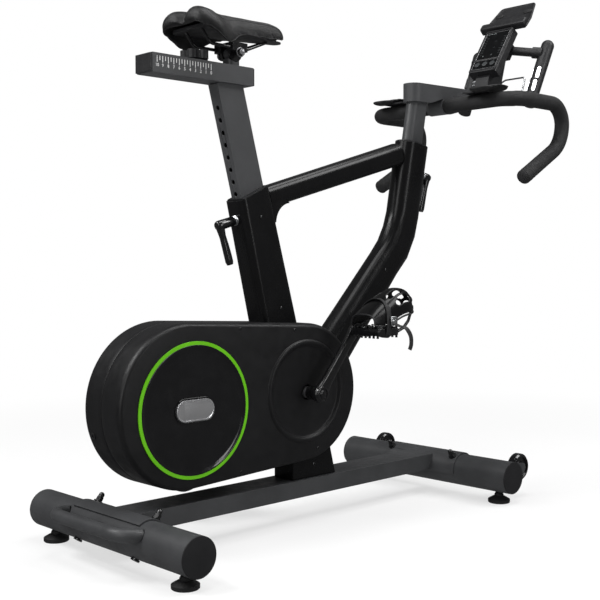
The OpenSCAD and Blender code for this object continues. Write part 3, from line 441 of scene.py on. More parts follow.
casing_half("casing_cover_right", -1, "casing_right")
casing_half("casing_cover_left", 1, "casing_left")
joined("casing_seam", [loft([casing_outline(1.6, 1.6, y) for y in (-1.5, 1.5)], caps=False)], rubber, "frame")


def stadium(cx, cz, y, length, width, n=40):
    out = []
    half = (length - width) / 2
    for s, start in ((1, -90), (-1, 90)):
        for k in range(n):
            a = math.radians(start + 180 * k / (n - 1))
            out.append(P(cx + s * half + width / 2 * math.cos(a), y, cz + width / 2 * math.sin(a)))
    return out


for side, tag in ((-1, "right"), (1, "left")):
    # badge: a dark surround, a bright bevelled rim and a brushed plate
    rim = [stadium(*WHEEL, side * y, L, W) for L, W, y in
           ((93, 43, 60), (93, 43, 64.0), (92.2, 42.2, 64.9), (89, 39, 65.2), (86, 36, 64.6), (86, 36, 62))]
    joined("badge_rim_" + tag, [loft(rim, caps=False)], badge_rim, "frame", flat_angle=50)
    surround = [stadium(*WHEEL, side * y, L, W) for L, W, y in
                ((100, 50, 62.7), (99, 49, 63.6), (96.5, 46.5, 63.7), (94.5, 44.5, 63.0), (94, 44, 61.0))]
    joined("badge_surround_" + tag, [loft(surround, caps=False)], gloss, "frame", flat_angle=50)
    # turned lip on the disc, lapping over the inner edge of the green ring
    lip = [circle(*WHEEL, r, side * y, RIM_STEPS) for r, y in
           ((128.8, 62.0), (128.7, 64.7), (127.9, 65.1), (125.8, 64.9), (124.6, 63.9), (122.6, 63.6),
            (119.0, 62.2))]
    joined("disc_lip_" + tag, [loft(lip, caps=False)], gloss, "frame", flat_angle=50)

for x, z in ((-53, 430), (16, 167), (-205, 440), (-205, 146)):
    for side in (-1, 1):
        screw("casing_screw", P(x, side * CASING_FACE, z), (0, side, 0), 3.6, "frame", gloss, 1.0)
for x, z, half in ((-118, 670, 30), (-62, 476, 30), (276, 555, 30), (34, 124, 31)):
    for side in (-1, 1):
        screw("frame_screw", P(x, side * half, z), (0, side, 0), 4.0, "frame", gloss, 1.2)


# ---------- cranks, pedals, toe cages ----------

ANGLE = math.radians(50.8)
CRANK = Vector((-13, 0, 293))


def crank_arm(tag, side):
    """A forged arm: broad hub, tapered web with a raised spine, round end; side is -1 on the right."""
    u = Vector((math.cos(ANGLE), 0, math.sin(ANGLE))) * (1 if side < 0 else -1)
    w = Vector((0, 1, 0)).cross(u)
    y0 = side * 98
    rings = []
    # along the arm, half width, half thickness
    stations = ((-19.5, 0.5, 5), (-17, 9, 8), (-12, 15, 9), (-4, 18.5, 9), (6, 18, 9), (16, 15.5, 8.3),
                (34, 13.2, 7.4), (70, 12, 7.0), (110, 11.4, 6.8), (146, 11.2, 6.8), (160, 13.2, 7),
                (170, 14.2, 7), (178, 12.2, 7), (183, 7.5, 6), (184.5, 0.5, 4))
    for s, half_w, half_t in stations:
        c = CRANK + u * s
        rings.append([P(*(c + w * half_w * squared(math.cos(a), 0.55)
                          + Vector((0, y0 + half_t * squared(math.sin(a), 0.55), 0)))) for a in turn(24)])
    out = Vector((0, side, 0))
    hub = lathe([(-2, 17), (9.5, 17), (11, 15.5), (11, 12.5), (9.5, 12), (9.5, 8.5), (11.5, 8), (12.2, 6.5),
                 (12.4, 0.1)], P(CRANK.x, y0, CRANK.z), out, 40)
    neck = lathe([(0, 17.5), (10, 17.5), (12, 15.5), (30, 15)], P(CRANK.x, y0, CRANK.z), -out, 40)
    return joined("crank_arm_" + tag, [loft(rings), hub, neck], enamel, "crank", (), 60)


right_arm = crank_arm("right", -1)
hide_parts("crank_arms")
crank_arm("left", 1)


def pedal_frame(side):
    """A pedal's centre and its directions: forward, outward and up; the left pedal hangs upside down."""
    c = CRANK + (170 if side < 0 else -170) * Vector((math.cos(ANGLE), 0, math.sin(ANGLE)))
    c = Vector((c.x, side * 160, c.z))
    f = 1 if side < 0 else -1
    return c, Vector((f, 0, 0)), Vector((0, side, 0)), Vector((0, 0, f))


def in_frame(basis, p):
    c, f, o, u = basis
    q = c + f * p[0] + o * p[1] + u * p[2]
    return P(*q)


def round_rect(cx, cy, half_x, half_y, r, n, inset=0.0):
    """Points round a rectangle with corners of radius r, drawn in by inset; n points to each corner."""
    out = []
    for qx, qy, start in ((1, 1, 0), (-1, 1, 90), (-1, -1, 180), (1, -1, 270)):
        for k in range(n):
            a = math.radians(start + 90 * k / (n - 1))
            out.append((cx + qx * (half_x - r) + (r - inset) * math.cos(a),
                        cy + qy * (half_y - r) + (r - inset) * math.sin(a)))
    return out


def box_rounded(basis, centre, size, r=2.0, n=5):
    """A block with all upright edges rounded and its rims softened, in a pedal's frame; size is x, y, z."""
    cx, cy, cz = centre
    sx, sy, sz = size[0] / 2, size[1] / 2, size[2] / 2
    r = min(r, sx * 0.98, sy * 0.98)
    e = min(r * 0.5, sz * 0.45)
    return loft([[in_frame(basis, (x, y, cz + z)) for x, y in round_rect(cx, cy, sx, sy, r, n, inset)]
                 for inset, z in ((e, -sz), (e * 0.3, -sz + e * 0.3), (0, -sz + e), (0, sz - e),
                                  (e * 0.3, sz - e * 0.3), (e, sz))])


def tube_in(basis, pts, r, n=10, squash=(1, 1)):
    return tube([in_frame(basis, p) for p in pts], r, n, 0.6, squash)


def pedal(side, tag):
    basis = pedal_frame(side)
    parts = []
    # barrel over the spindle
    c, f, o, u = basis
    parts.append(lathe([(-40, 9), (-38, 12.5), (-20, 12.8), (-8, 10.5), (8, 10.5), (22, 12.8), (36, 12.8),
                        (39, 11), (40, 6), (40.2, 0.1)], P(*c), o, 28))
    # toothed front and rear plates
    for sx in (-1, 1):
        parts.append(box_rounded(basis, (sx * 30, 0, 0), (4, 78, 15), 1.6))
        for k in range(-3, 4):
            parts += [box_rounded(basis, (sx * 30, k * 11.6, z), (3.2, 5.2, 7), 1.0, 3) for z in (9.5, -9.5)]
    for sy in (-37, 37):
        parts.append(box_rounded(basis, (0, sy, 0), (58, 4.5, 16), 2))
        parts += [box_rounded(basis, (x, sy, 9), (12, 4, 5), 1.2, 3) for x in (-19, 19)]
    for sy in (-18, 18):
        parts.append(box_rounded(basis, (0, sy, 0), (56, 4, 12), 1.6))
    joined("pedal_body_" + tag, parts, enamel, tag + "_pedal", ("pedal_" + tag,), 50)
    pins = []
    for sx in (-1, 1):
        for k in (-3, -1, 1, 3):
            foot = in_frame(basis, (sx * 23, k * 9.5, 8))
            pins.append(lathe([(0, 1.7), (2.6, 1.7), (3.2, 1.2), (3.2, 0.1)], foot, u, 10))
    pins += [lathe([(0, 3.6), (1.2, 3.6), (1.6, 3.0), (1.6, 0.1)], in_frame(basis, (31.5, y, -1)), f, 12)
             for y in (-16, 16)]
    for y in (-16, 16):
        pins.append(box_rounded(basis, (33, y, -1), (2.4, 7, 12), 1.0, 3))
    joined("pedal_steel_" + tag, pins, steel, tag + "_pedal", (), 50)


def toe_cage(side, tag):
    """A moulded hood over the toe with windows, and two struts from it to the pedal's front plate."""
    basis = pedal_frame(side)
    # x forward, half width, lower and upper edge
    stations = ((-38, 34, 16, 38), (-22, 37, 13, 50), (0, 39, 15, 64), (25, 39, 24, 79), (48, 38, 32, 90),
                (70, 36, 36, 92), (87, 31, 38, 86), (99, 23, 41, 76), (105, 12, 46, 64))
    m, n = 48, 26

    def at(u, v):
        k = min(int(u * 8), 7)
        f = u * 8 - k
        x, w, low, high = [spline(*q, f) for q in zip(*around(stations, k))]
        a = math.pi * v
        return (x, w * squared(math.cos(a), 0.8), low + (high - low) * math.sin(a) ** 0.62)

    # first and last share along the hood, first and last share across it
    windows = ((0.34, 0.60, 0.30, 0.44), (0.34, 0.60, 0.56, 0.70), (0.40, 0.66, 0.12, 0.22),
               (0.40, 0.66, 0.78, 0.88), (0.70, 0.92, 0.24, 0.44), (0.70, 0.92, 0.56, 0.76),
               (0.74, 0.93, 0.06, 0.16), (0.74, 0.93, 0.84, 0.94))

    def open_at(u, v):
        def off(w, low, high):
            return abs((w - (low + high) / 2) / ((high - low) / 2)) ** 3
        return any(off(u, u0, u1) + off(v, v0, v1) < 1 for u0, u1, v0, v1 in windows)

    verts = [in_frame(basis, at(i / m, j / n)) for i in range(m + 1) for j in range(n + 1)]
    corners = (0, 1, n + 2, n + 1)
    faces = [tuple(i * (n + 1) + j + c for c in corners) for i in range(m) for j in range(n)
             if not open_at((i + 0.5) / m, (j + 0.5) / n)]
    hood = joined("toe_hood_" + tag, [(verts, faces)], black_coat, tag + "_pedal", ("toe_cage_" + tag,))
    ease = hood.modifiers.new("ease", "SMOOTH")
    ease.factor, ease.iterations = 0.5, 3
    wall = hood.modifiers.new("wall", "SOLIDIFY")
    wall.thickness, wall.offset = 2.8 * MM, 0
    fine = hood.modifiers.new("round", "SUBSURF")
    fine.levels = fine.render_levels = 1
    parts = []
    for y in (-22, 22):
        parts.append(tube_in(basis, ((33, y, -2), (48, y, -1), (70, y * 0.95, 6), (88, y * 0.85, 20),
                                     (97, y * 0.8, 36), (99, y * 0.75, 50)),
                             [4.2, 4.0, 3.6, 3.4, 3.2, 2.4], 14, (1, 0.7)))
    for v in (0.0, 1.0):
        parts.append(tube_in(basis, [at(k / 24, v) for k in range(25)], 2.1))
    parts.append(tube_in(basis, [at(0.0, k / 24) for k in range(25)], 2.2))
    parts.append(box_rounded(basis, (34.5, 0, 0), (3, 60, 16), 1.2))
    for y in (-36, 36):
        parts.append(box_rounded(basis, (-14, y, 9), (30, 3.5, 14), 1.4))
    joined("toe_cage_mould_" + tag, parts, plastic, tag + "_pedal", (), 60)

    # strap: through the pedal, up both sides, through the cage top, with its tail hanging outside
    def band(points, half, thick, mat, name):
        path = [Vector(p) for p in points]
        dense = []
        for i in range(len(path) - 1):
            dense += [spline(*around(path, i), k / 8) for k in range(8)]
        dense.append(path[-1])
        rings = []
        for i, p in enumerate(dense):
            d = (dense[min(i + 1, len(dense) - 1)] - dense[max(i - 1, 0)]).normalized()
            wide = Vector((1, 0, 0)) - d * d.x
            wide.normalize()
            up = d.cross(wide)
            rings.append([in_frame(basis, p + wide * a * half + up * b * thick / 2)
                          for a, b in ((-1, -0.6), (-0.9, -1), (0.9, -1), (1, -0.6), (1, 0.6), (0.9, 1),
                                       (-0.9, 1), (-1, 0.6))])
        return joined(name, [loft(rings)], mat, tag + "_pedal", (), 40)
    # outward is +y in the pedal frame
    band([(-2, -20, -9), (-2, -38, -6), (-3, -42.5, 8), (-2, -42, 26), (2, -36, 50), (6, -20, 66), (7, 0, 71),
          (6, 20, 66), (2, 36, 50), (-2, 42, 26), (-3, 42.5, 10), (-2, 38, -7), (-2, 20, -10)], 6.5, 2.0,
         webbing, "strap_" + tag)
    band([(8, 44, 32), (8, 47.5, 20), (14, 56, 14), (26, 66, 8), (36, 70, -8), (38, 70, -26), (34, 69, -38)],
         6.0, 1.8, webbing, "strap_tail_" + tag)
    buckle = [box_rounded(basis, (8, 46.5, 24), (18, 5, 20), 2),
              box_rounded(basis, (8, 50, 22), (14, 4, 9), 1.5)]
    joined("buckle_" + tag, buckle, steel, tag + "_pedal", (), 50)


for side, tag in ((-1, "right"), (1, "left")):
    pedal(side, tag)
    toe_cage(side, tag)


# ---------- handlebar, foam, pads ----------

BAR = [(512, 230, 966), (722, 230, 966), (708, 230, 867), (549, 230, 778)]
for s, tag in ((1, "left"), (-1, "right")):
    route = [(512, s * 26, 966)] + [(x, s * y, z) for x, y, z in BAR]
    path = filleted(route, [60, 50, 80])
    joined("foam_grip_" + tag, [tube(path, 18, 32, 0.45)], foam, "bars", ("bar_grips",))
    end = (path[-1] - path[-2]).normalized()
    ring = lathe([(-16, 18.05), (-15.4, 18.35), (-14.6, 18.35), (-14, 18.05)], path[-1], end, 36)
    joined("foam_seam_" + tag, [ring], foam, "bars")


def arm_pad(s, tag):
    """A forearm rest: a curved moulded pad with a rounded rim and a flicked-up rear edge."""
    rows = []
    tilt = math.radians(4)
    trough = 100
    for i in range(37):
        u = -1 + 2 * i / 36
        x = 54.5 * math.sin(u * math.pi / 2)
        half = 37.5 * (1 - max(0, (abs(x) - 17) / 38.2) ** 2.3) ** 0.5 if abs(x) > 17 else 37.5
        half = max(half, 3)
        ring = []
        for a in turn(40):
            y = half * squared(math.cos(a), 0.75)
            base = trough - math.sqrt(trough ** 2 - y * y) + 4.8
            edge = 1 - 0.35 * abs(u) ** 6
            z = (base + 4.4 * edge * squared(math.sin(a), 0.8) + 4 * smooth((-x - 32) / 22)
                 - 3 * smooth((-x - 5) / 34))
            xx, zz = x * math.cos(tilt) - z * math.sin(tilt), x * math.sin(tilt) + z * math.cos(tilt)
            ring.append(P(508 + xx, s * 156 + y, 988 + zz))
        rows.append(ring)
    return joined("arm_pad_" + tag, [loft(rows)], foam, "bars")


def inflate(obj, pressure=4.0, cap=3.0, voxel=5.0, frames=16):
    """Swells a padded piece as stuffed cover cloth, no point moving further than cap millimetres."""
    bpy.context.view_layer.objects.active = obj
    rm = obj.modifiers.new("remesh", "REMESH")
    rm.mode = "VOXEL"
    rm.voxel_size = voxel * MM
    bake(obj)
    start = [v.co.copy() for v in obj.data.vertices]
    cl = obj.modifiers.new("cloth", "CLOTH")
    cloth = cl.settings
    cloth.mass = 0.2
    cloth.tension_stiffness = cloth.compression_stiffness = 30
    cloth.bending_stiffness = 2
    cloth.use_pressure = True
    cloth.uniform_pressure_force = pressure
    cloth.effector_weights.gravity = 0
    cl.point_cache.frame_start, cl.point_cache.frame_end = 1, frames
    scene = bpy.context.scene
    for f in range(1, frames + 1):
        scene.frame_set(f)
    bake(obj)
    scene.frame_set(1)
    for v, was in zip(obj.data.vertices, start):
        move = v.co - was
        if move.length > cap * MM:
            v.co = was + move.normalized() * cap * MM
    sub = obj.modifiers.new("sub", "SUBSURF")
    sub.levels = sub.render_levels = 1
    bake(obj)
    obj.data.shade_smooth()


def bake(obj):
    """Applies an object's modifiers to its mesh."""
    deps = bpy.context.evaluated_depsgraph_get()
    me = bpy.data.meshes.new_from_object(obj.evaluated_get(deps))
    old = obj.data
    obj.modifiers.clear()
    obj.data = me
    me.name = obj.name
    bpy.data.meshes.remove(old)


for s, tag in ((1, "left"), (-1, "right")):
    pad = arm_pad(s, tag)
    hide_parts("arm_pads")
    inflate(pad, 2.0, 1.2, 4.0, 12)


# ---------- clamp levers ----------

def clamp_lever(name, origin, out, down, standoff, length, node):
    """A ratchet lever: steel nut, round barrel with an elbow, and a flared grip with a grey insert."""
    body = {"seat_lever": "post_lever", "bar_lever": "bars_lever"}[node]
    o = P(*origin)
    out, down = Vector(out).normalized(), Vector(down).normalized()
    side = out.cross(down)
    nut = lathe([(0, 10.5), (2, 10.8), (3, 9.6), (4, 10.6), (5, 9.6), (6, 10.6), (7, 9.6), (8.5, 10.2),
                 (9, 8), (12, 7.8)], o, out, 18)
    joined(name + "_nut", [nut], steel, body, (), 40)
    barrel = lathe([(9, 7.5), (9.6, 9.4), (11, 10.2)]
                   + [(standoff + h, r) for h, r in ((-6, 10.6), (3, 10.4), (7, 8.8), (8.6, 6.6), (8.8, 5.2),
                                                     (8.0, 4.9), (8.0, 0.1))], o, out, 36)
    rings = []
    for k in range(15):
        t = k / 14
        lean = Vector(out) * (-6 * t * MM) + down * (-4 + (length + 4) * t) * MM
        c = o + out * standoff * MM + lean
        a = lerp(9.6, 6.8, min(1, t * 3)) if t < 0.33 else lerp(6.8, 9.0, (t - 0.33) / 0.67)
        b = lerp(9.6, 6.2, min(1, t * 3))
        if t > 0.93:
            a, b = a * 0.78, b * 0.78
        rings.append([c + (out * squared(math.cos(q), 0.8) * a + side * squared(math.sin(q), 0.8) * b) * MM
                      for q in turn(24)])
    joined(name + "_handle", [barrel, loft(rings)], enamel, body, (node,), 50)
    strip = []
    for k in range(9):
        t = 0.24 + 0.66 * k / 8
        c = o + out * standoff * MM + Vector(out) * (-6 * t * MM) + down * (-4 + (length + 4) * t) * MM
        a = lerp(6.8, 9.0, max(0, (t - 0.33) / 0.67))
        w = 3.4 * math.sin(math.pi * (k + 0.6) / 9.2) ** 0.4
        base = c - out * (a - 0.6) * MM
        near, far = base + side * w * MM, base - side * w * MM
        strip.append([near, near - out * 1.1 * MM, far - out * 1.1 * MM, far])
    joined(name + "_insert", [loft(strip)], grey_insert, body, (), 50)


clamp_lever("post_lever", (-163.05, 0, 664.0), (-0.965926, 0, -0.258819), (0.258819, 0, -0.965926), 46, 86,
            "seat_lever")
clamp_lever("head_lever", (437.45, 0, 790.1), (0.98061, 0, -0.19595), (-0.19595, 0, -0.98061), 26, 88,
            "bar_lever")


# ---------- display and tablet holder ----------

TILT = math.radians(34.2)
FACE_UP = Vector((math.sin(TILT), 0, math.cos(TILT)))
FACE_OUT = Vector((-math.cos(TILT), 0, math.sin(TILT)))
FACE_FOOT = Vector((690, 0, 1077))


def on_face(y, h, out=0.0):
    """A point on the display: y across, h up from its lower edge, out towards the rider."""
    q = FACE_FOOT + FACE_UP * h + FACE_OUT * out + Vector((0, y, 0))
    return P(*q)


def face_ring(y, h, half_y, half_h, r, out, n=7):
    return [on_face(a, b, out) for a, b in round_rect(y, h, half_y, half_h, r, n)]


def face_frame(name, y, h, half_y, half_h, r, width, low, high, mat):
    rings = [face_ring(y, h, half_y - d, half_h - d, max(r - d, 0.3), level) for d, level in
             ((0, low), (0, high - 0.5), (0.6, high), (width - 0.6, high), (width, high - 0.8), (width, low))]
    joined(name, [loft(rings, caps=False)], mat, "bars", (), 40)


def face_tile(y, h, wy, wh, out=1.9, thick=0.25, r=0.4):
    r = min(r, wy / 2 * 0.95, wh / 2 * 0.95)
    return loft([face_ring(y, h, wy / 2, wh / 2, r, level, 3) for level in (out - thick, out)])


face_frame("display_bezel", 0, 74, 43, 74, 6, 5, 0.0, 2.2, plastic)
face_frame("display_edge", 0, 92, 37.4, 48.5, 2, 1.1, 0.0, 1.7, badge_plate)
face_frame("key_edge", 0, 25.5, 37.4, 15.5, 2, 0.9, 0.0, 1.4, badge_plate)
joined("display_window", [face_tile(0, 92, 72.6, 94.8, 0.9, 0.8, 1.5)], screen_glass, "bars",
       ("console_screen",), 40)
joined("key_field", [face_tile(0, 25.5, 73, 29, 0.6, 0.5, 1.5)], screen_glass, "bars", (), 40)
dim, lit = [], []
for k in range(8):
    wide = 5 + (k * 5) % 6
    for y in (-29, 27):
        dim.append(face_tile(y + (k % 3) * 0.8, 62 + k * 8.4, wide, 1.0, 1.05, 0.12))
        dim.append(face_tile(y - (k % 2), 59.6 + k * 8.4, wide * 0.6, 0.7, 1.05, 0.12))
for k in range(5):
    lit.append(face_tile(8 + k * 5.5, 134.5, 3.4 - (k % 2), 1.2, 1.1, 0.14))
for y, h, wide, tall in ((-6, 84, 7, 1.0), (-5, 106, 8, 0.9), (18, 56, 2.2, 2.2), (-8, 58, 5, 5)):
    (lit if wide == tall == 2.2 else dim).append(face_tile(y, h, wide, tall, 1.1, 0.14))
for y, h in ((-24, 37), (0, 37.5), (24, 37), (-24, 13), (0, 12.5), (24, 13)):
    dim.append(face_tile(y, h, 6, 0.9, 0.75, 0.12))
joined("display_dim_marks", dim, screen_dim, "bars", (), 40)
joined("display_marks", lit, screen_line, "bars", (), 40)
joined("display_dark_panel", [face_tile(6, 104, 26, 40, 1.02, 0.1, 1.0)], screen_glass, "bars", (), 40)
for key, y in (("left", 24), ("centre", 0), ("right", -24)):
    spot = on_face(y, 26, 1.6)
    ring = lathe([(0, 7.4), (0.5, 7.4), (0.7, 6.9), (0.7, 6.4), (0.4, 6.2)], spot, FACE_OUT, 32)
    mark = lathe([(0, 2.0), (0.35, 1.9), (0.4, 0.1)], spot, FACE_OUT, 16)
    joined("key_mark_" + key, [ring, mark], screen_dim, key + "_key", (), 40)

HOLD = math.radians(42)
HOLD_UP = Vector((math.sin(HOLD), 0, math.cos(HOLD)))
HOLD_BACK = Vector((math.cos(HOLD), 0, -math.sin(HOLD)))
HOLD_FOOT = Vector((790, 0, 1203))


def on_holder(back, y, h):
    q = HOLD_FOOT + HOLD_BACK * back + HOLD_UP * h + Vector((0, y, 0))
    return P(*q)


def holder_plate():
    """The back plate: rounded shoulders, a soft rim and a shallow crease where it leans back."""
    corners = [(-71, 0.5, 3), (71, 0.5, 3), (71, 34, 26), (55, 102.5, 13), (-55, 102.5, 13), (-71, 34, 26)]
    outline = []
    for i, (y, h, r) in enumerate(corners):
        p = Vector((y, h))
        a = (Vector(corners[i - 1][:2]) - p).normalized()
        b = (Vector(corners[(i + 1) % len(corners)][:2]) - p).normalized()
        half = a.angle(b) / 2
        cut = min(r / math.tan(half), 30)
        outline += [(p + a * cut) * (1 - t) ** 2 + p * 2 * t * (1 - t) + (p + b * cut) * t * t
                    for t in (k / 8 for k in range(9))]
    rings = []
    centre = Vector((0, 52))
    for inset, back in ((1.6, 5.0), (0.4, 4.5), (0, 3.4), (0, 1.6), (0.4, 0.5), (1.6, 0.0), (4.5, 0.2),
                        (5.5, 0.9), (22, 1.1)):
        ring = []
        for q in outline:
            e = q - (q - centre).normalized() * inset
            crease = 0.9 * math.exp(-((e.y - 33) / 2.0) ** 2) if back < 2 else 0
            ring.append(on_holder(back - crease, e.x, e.y))
        rings.append(ring)
    return loft(rings)


def holder_tray():
    """The rolled ledge along the plate's foot, closed and rounded at both ends."""
    section = [(5, -3.6), (-9, -4), (-13, -3.4), (-15.4, -1), (-16, 3), (-16, 15), (-15.4, 17.2), (-14, 18),
               (-12.8, 17.2), (-12.2, 14), (-12, 4), (-11, 1.2), (-9, 0.5), (0, 0.5), (4.6, 0.4)]
    rings = []
    mid = Vector((-7, 3))
    for y, k in ((-70.8, 0.55), (-70.2, 0.8), (-68.4, 0.94), (-65, 1), (-40, 1), (0, 1), (40, 1), (65, 1),
                 (68.4, 0.94), (70.2, 0.8), (70.8, 0.55)):
        shrunk = [mid + (Vector(p) - mid) * (0.6 + 0.4 * k) for p in section]
        rings.append([on_holder(q.x, y, q.y) for q in shrunk])
    return loft(rings)


joined("tablet_plate", [holder_plate()], plastic, "bars", ("tablet_holder",), 42)
joined("tablet_ledge", [holder_tray()], plastic, "bars", (), 42)
joined("tablet_bracket", [loft([[P(x, y, z) for x, z in ((772, 1190), (803, 1186), (812, 1205), (791, 1211))]
                                for y in (-17.5, -12, 12, 17.5)])], plastic, "bars", (), 42)
pads = [loft([[on_holder(back, sy * 46 + wide * math.cos(a), 66 + tall * math.sin(a)) for a in turn(24)]
              for back, wide, tall in ((-0.2, 14, 8), (-1.0, 13, 7))]) for sy in (-1, 1)]
joined("tablet_grip_pads", pads, rubber, "bars", (), 42)

# bottle cage: a bent wire loop standing behind the display
wire = filleted([(782, 2, 1006), (782, 2, 1058), (788, -8, 1065), (797, -64, 1067), (792, -64, 1050),
                 (780, -60, 1006)], [7, 5, 6, 5, 20], 2)
joined("bottle_cage_wire", [tube(wire, 2.2, 12)], bright, "bars")
hoop = filleted([(784, 6, 1006), (797, 0, 1030), (800, -30, 1034), (796, -58, 1030), (784, -62, 1006)],
                [10, 14, 14, 10], 2)
joined("bottle_cage_hoop", [tube(hoop, 2.2, 12)], bright, "bars")


# ---------- saddle ----------

def saddle_surface():
    """The cover as a closed skin: rings across the saddle from the tail to the nose, the underside hollow."""
    # x, centre height, lobe place and height, shoulder place and height, skirt place, hem place and height
    rows = (
        (-311, 1052, 30, 1056, 42, 1055, 46, 44, 1050),
        (-309, 1058, 30, 1066, 48, 1062, 54, 52, 1047),
        (-303, 1064, 31, 1076, 54, 1070, 63, 61, 1043),
        (-294, 1070, 32, 1081, 57, 1073, 69, 68, 1039),
        (-282, 1075, 32, 1082.5, 58, 1073, 73, 72.5, 1035),
        (-268, 1077.5, 30, 1080.5, 57, 1071, 75, 75, 1028),
        (-254, 1078.5, 27, 1079, 53, 1068, 73, 73.5, 1020),
        (-240, 1079, 24, 1078.5, 48, 1066, 67, 68, 1015.5),
        (-226, 1079.5, 21, 1078.5, 42, 1066, 60, 62, 1016),
        (-212, 1080.5, 19, 1079, 37, 1067, 53, 56, 1021),
        (-198, 1081.5, 17, 1080, 33, 1069, 47, 50, 1030),
        (-180, 1082.5, 15, 1081, 29, 1071, 41, 44, 1038),
        (-158, 1084, 14, 1082, 26, 1072, 36, 39, 1042),
        (-130, 1085, 12, 1083, 23, 1073, 31, 33, 1044),
        (-100, 1086, 11, 1084, 20, 1074, 27, 28, 1046),
        (-74, 1085.5, 10, 1083.5, 18, 1074, 23, 24, 1048),
        (-52, 1082, 9, 1080, 15, 1072, 19, 19.5, 1051),
        (-38, 1076, 7, 1074, 11, 1068, 14, 14, 1054),
        (-32, 1069, 3, 1068, 5, 1065, 6, 6, 1058),
    )

    def curve(pts, t):
        """A smooth line through the points, t from 0 to their number less one."""
        i = min(int(t), len(pts) - 2)
        return [spline(*q, t - i) for q in zip(*around(pts, i))]

    rings = []
    for x, zc, y1, z1, y2, z2, y3, y4, z4 in rows:
        mid = lerp(z2, z4, 0.5)
        outer = [(0, zc), (y1, z1), (y2, z2), (y3, mid), (y4, z4)]
        notch = 16 * smooth((-x - 285) / 24)
        half = []
        for k in range(41):
            y, z = curve(outer, 4 * k / 40)
            groove = 2.6 * math.exp(-(y / 9.0) ** 2) * smooth((-x - 60) / 40) * smooth((x + 305) / 10)
            half.append((x + notch * math.exp(-(y / 13.0) ** 2), y, z - groove))
        wall = 6.5 if x > -300 else 4.0
        inside = [(x, y4 - 1.6, z4 - 1.2), (x, y4 - 4, z4 + 0.2), (x, max(y4 - wall, y4 * 0.5), z4 + 3.5)]
        roof = max(min(z1, zc) - 15, z4 + 4)
        for high, most, clear in ((lerp(z4 + 3.5, roof, 0.65), y4 - wall - 1.5, wall),
                                  (lerp(z4, roof, 0.95), y4 * 0.66, 5)):
            reach = lerp(y3, y2, max(0, min(1, (high - mid) / (z2 - mid))))
            inside.append((x, max(min(most, reach - clear), y4 * 0.4), high))
        inside.append((x + notch * 0.3, y4 * 0.33, roof))
        side = half[1:] + inside
        loop = [half[0]] + side + [(x + notch * 0.6, 0, roof)] + [(a, -b, c) for a, b, c in reversed(side)]
        rings.append([P(*q) for q in loop])
    return rings


def refined(rings, times):
    """Extra rings between the given ones, on a smooth curve through them."""
    out = [[spline(*q, k / times) for q in zip(*around(rings, i))]
           for i in range(len(rings) - 1) for k in range(times)]
    return out + [rings[-1]]


skin = refined(saddle_surface(), 4)
saddle = joined("saddle_cover", [loft(skin)], leather, "saddle", ("saddle_pad",))
inflate(saddle, 3.0, 2.0, 4.0, 14)


def along_skin(share, s, first, last, lift):
    """A path laid on the cover on side s; share(t) runs from 0 on the centre line to 1 at the hem."""
    out = []
    for i in range(first, last):
        ring = skin[i]
        k = 40 * share((i - first) / max(1, last - first - 1))
        a = int(min(39, k))
        near, far = (ring[a], ring[a + 1]) if s > 0 else (ring[-a], ring[-a - 1])
        out.append(lerp(near, far, k - a) + Vector((0, s * 0.3, lift)) * MM)
    return out


def laid(path, lift):
    """A path moved onto the finished cover, lifted off it by so many millimetres."""
    out = []
    for p in path:
        spot, normal = cover.find_nearest(p)[:2]
        out.append(spot + normal * lift * MM)
    return [p for i, p in enumerate(out) if i == 0 or (p - out[i - 1]).length > 0.001]


cover = BVHTree.FromPolygons([v.co for v in saddle.data.vertices],
                             [tuple(f.vertices) for f in saddle.data.polygons])
total = len(skin)
for s in (-1, 1):
    seam = along_skin(lambda t: 0.42 + 0.10 * math.sin(math.pi * min(1, t * 1.1)), s, 10, total - 8, 0.4)
    joined("saddle_seam_" + SIDE[s], [tube(laid(seam, 0.2), 0.8, 8)], stitch, "saddle")
    hem = along_skin(lambda t: 0.97, s, 4, total - 4, 0)
    joined("saddle_piping_" + SIDE[s], [tube(laid(hem, 0.1), 1.4, 10, 0.5)], leather, "saddle")


# ---------- saddle clamp, rails and slide ----------

for s in (-1, 1):
    y = s * 36
    base = P(-174, y - s * 7, 1008)
    nut = lathe([(0, 9.5), (0.6, 10.2), (1.6, 10.4), (2.0, 10.0), (2.2, 7.6)], base, (0, s, 0), 32)
    hexa = lathe([(2, 7.2), (8.2, 7.2), (9.2, 6.2), (9.2, 3.9), (10.4, 3.7), (10.8, 3.0), (10.8, 0.01)],
                 base, (0, s, 0), 6)
    joined("clamp_nut_" + SIDE[s], [nut, hexa], cast, "saddle", (), 35)


def number_mesh(text, height):
    """A printed figure as flat triangles, read off the curve it is drawn with."""
    cu = bpy.data.curves.new("figure", "FONT")
    cu.body = text
    cu.size = height * 1.35 * MM
    cu.align_x = "CENTER"
    cu.align_y = "CENTER"
    cu.resolution_u = 4
    ob = bpy.data.objects.new("figure", cu)
    bpy.context.collection.objects.link(ob)
    me = bpy.data.meshes.new_from_object(ob.evaluated_get(bpy.context.evaluated_depsgraph_get()))
    verts, faces = [v.co.copy() for v in me.vertices], [tuple(f.vertices) for f in me.polygons]
    bpy.data.objects.remove(ob)
    bpy.data.meshes.remove(me)
    return verts, faces


SCALE_START, SCALE_STEP = -248, 6.65


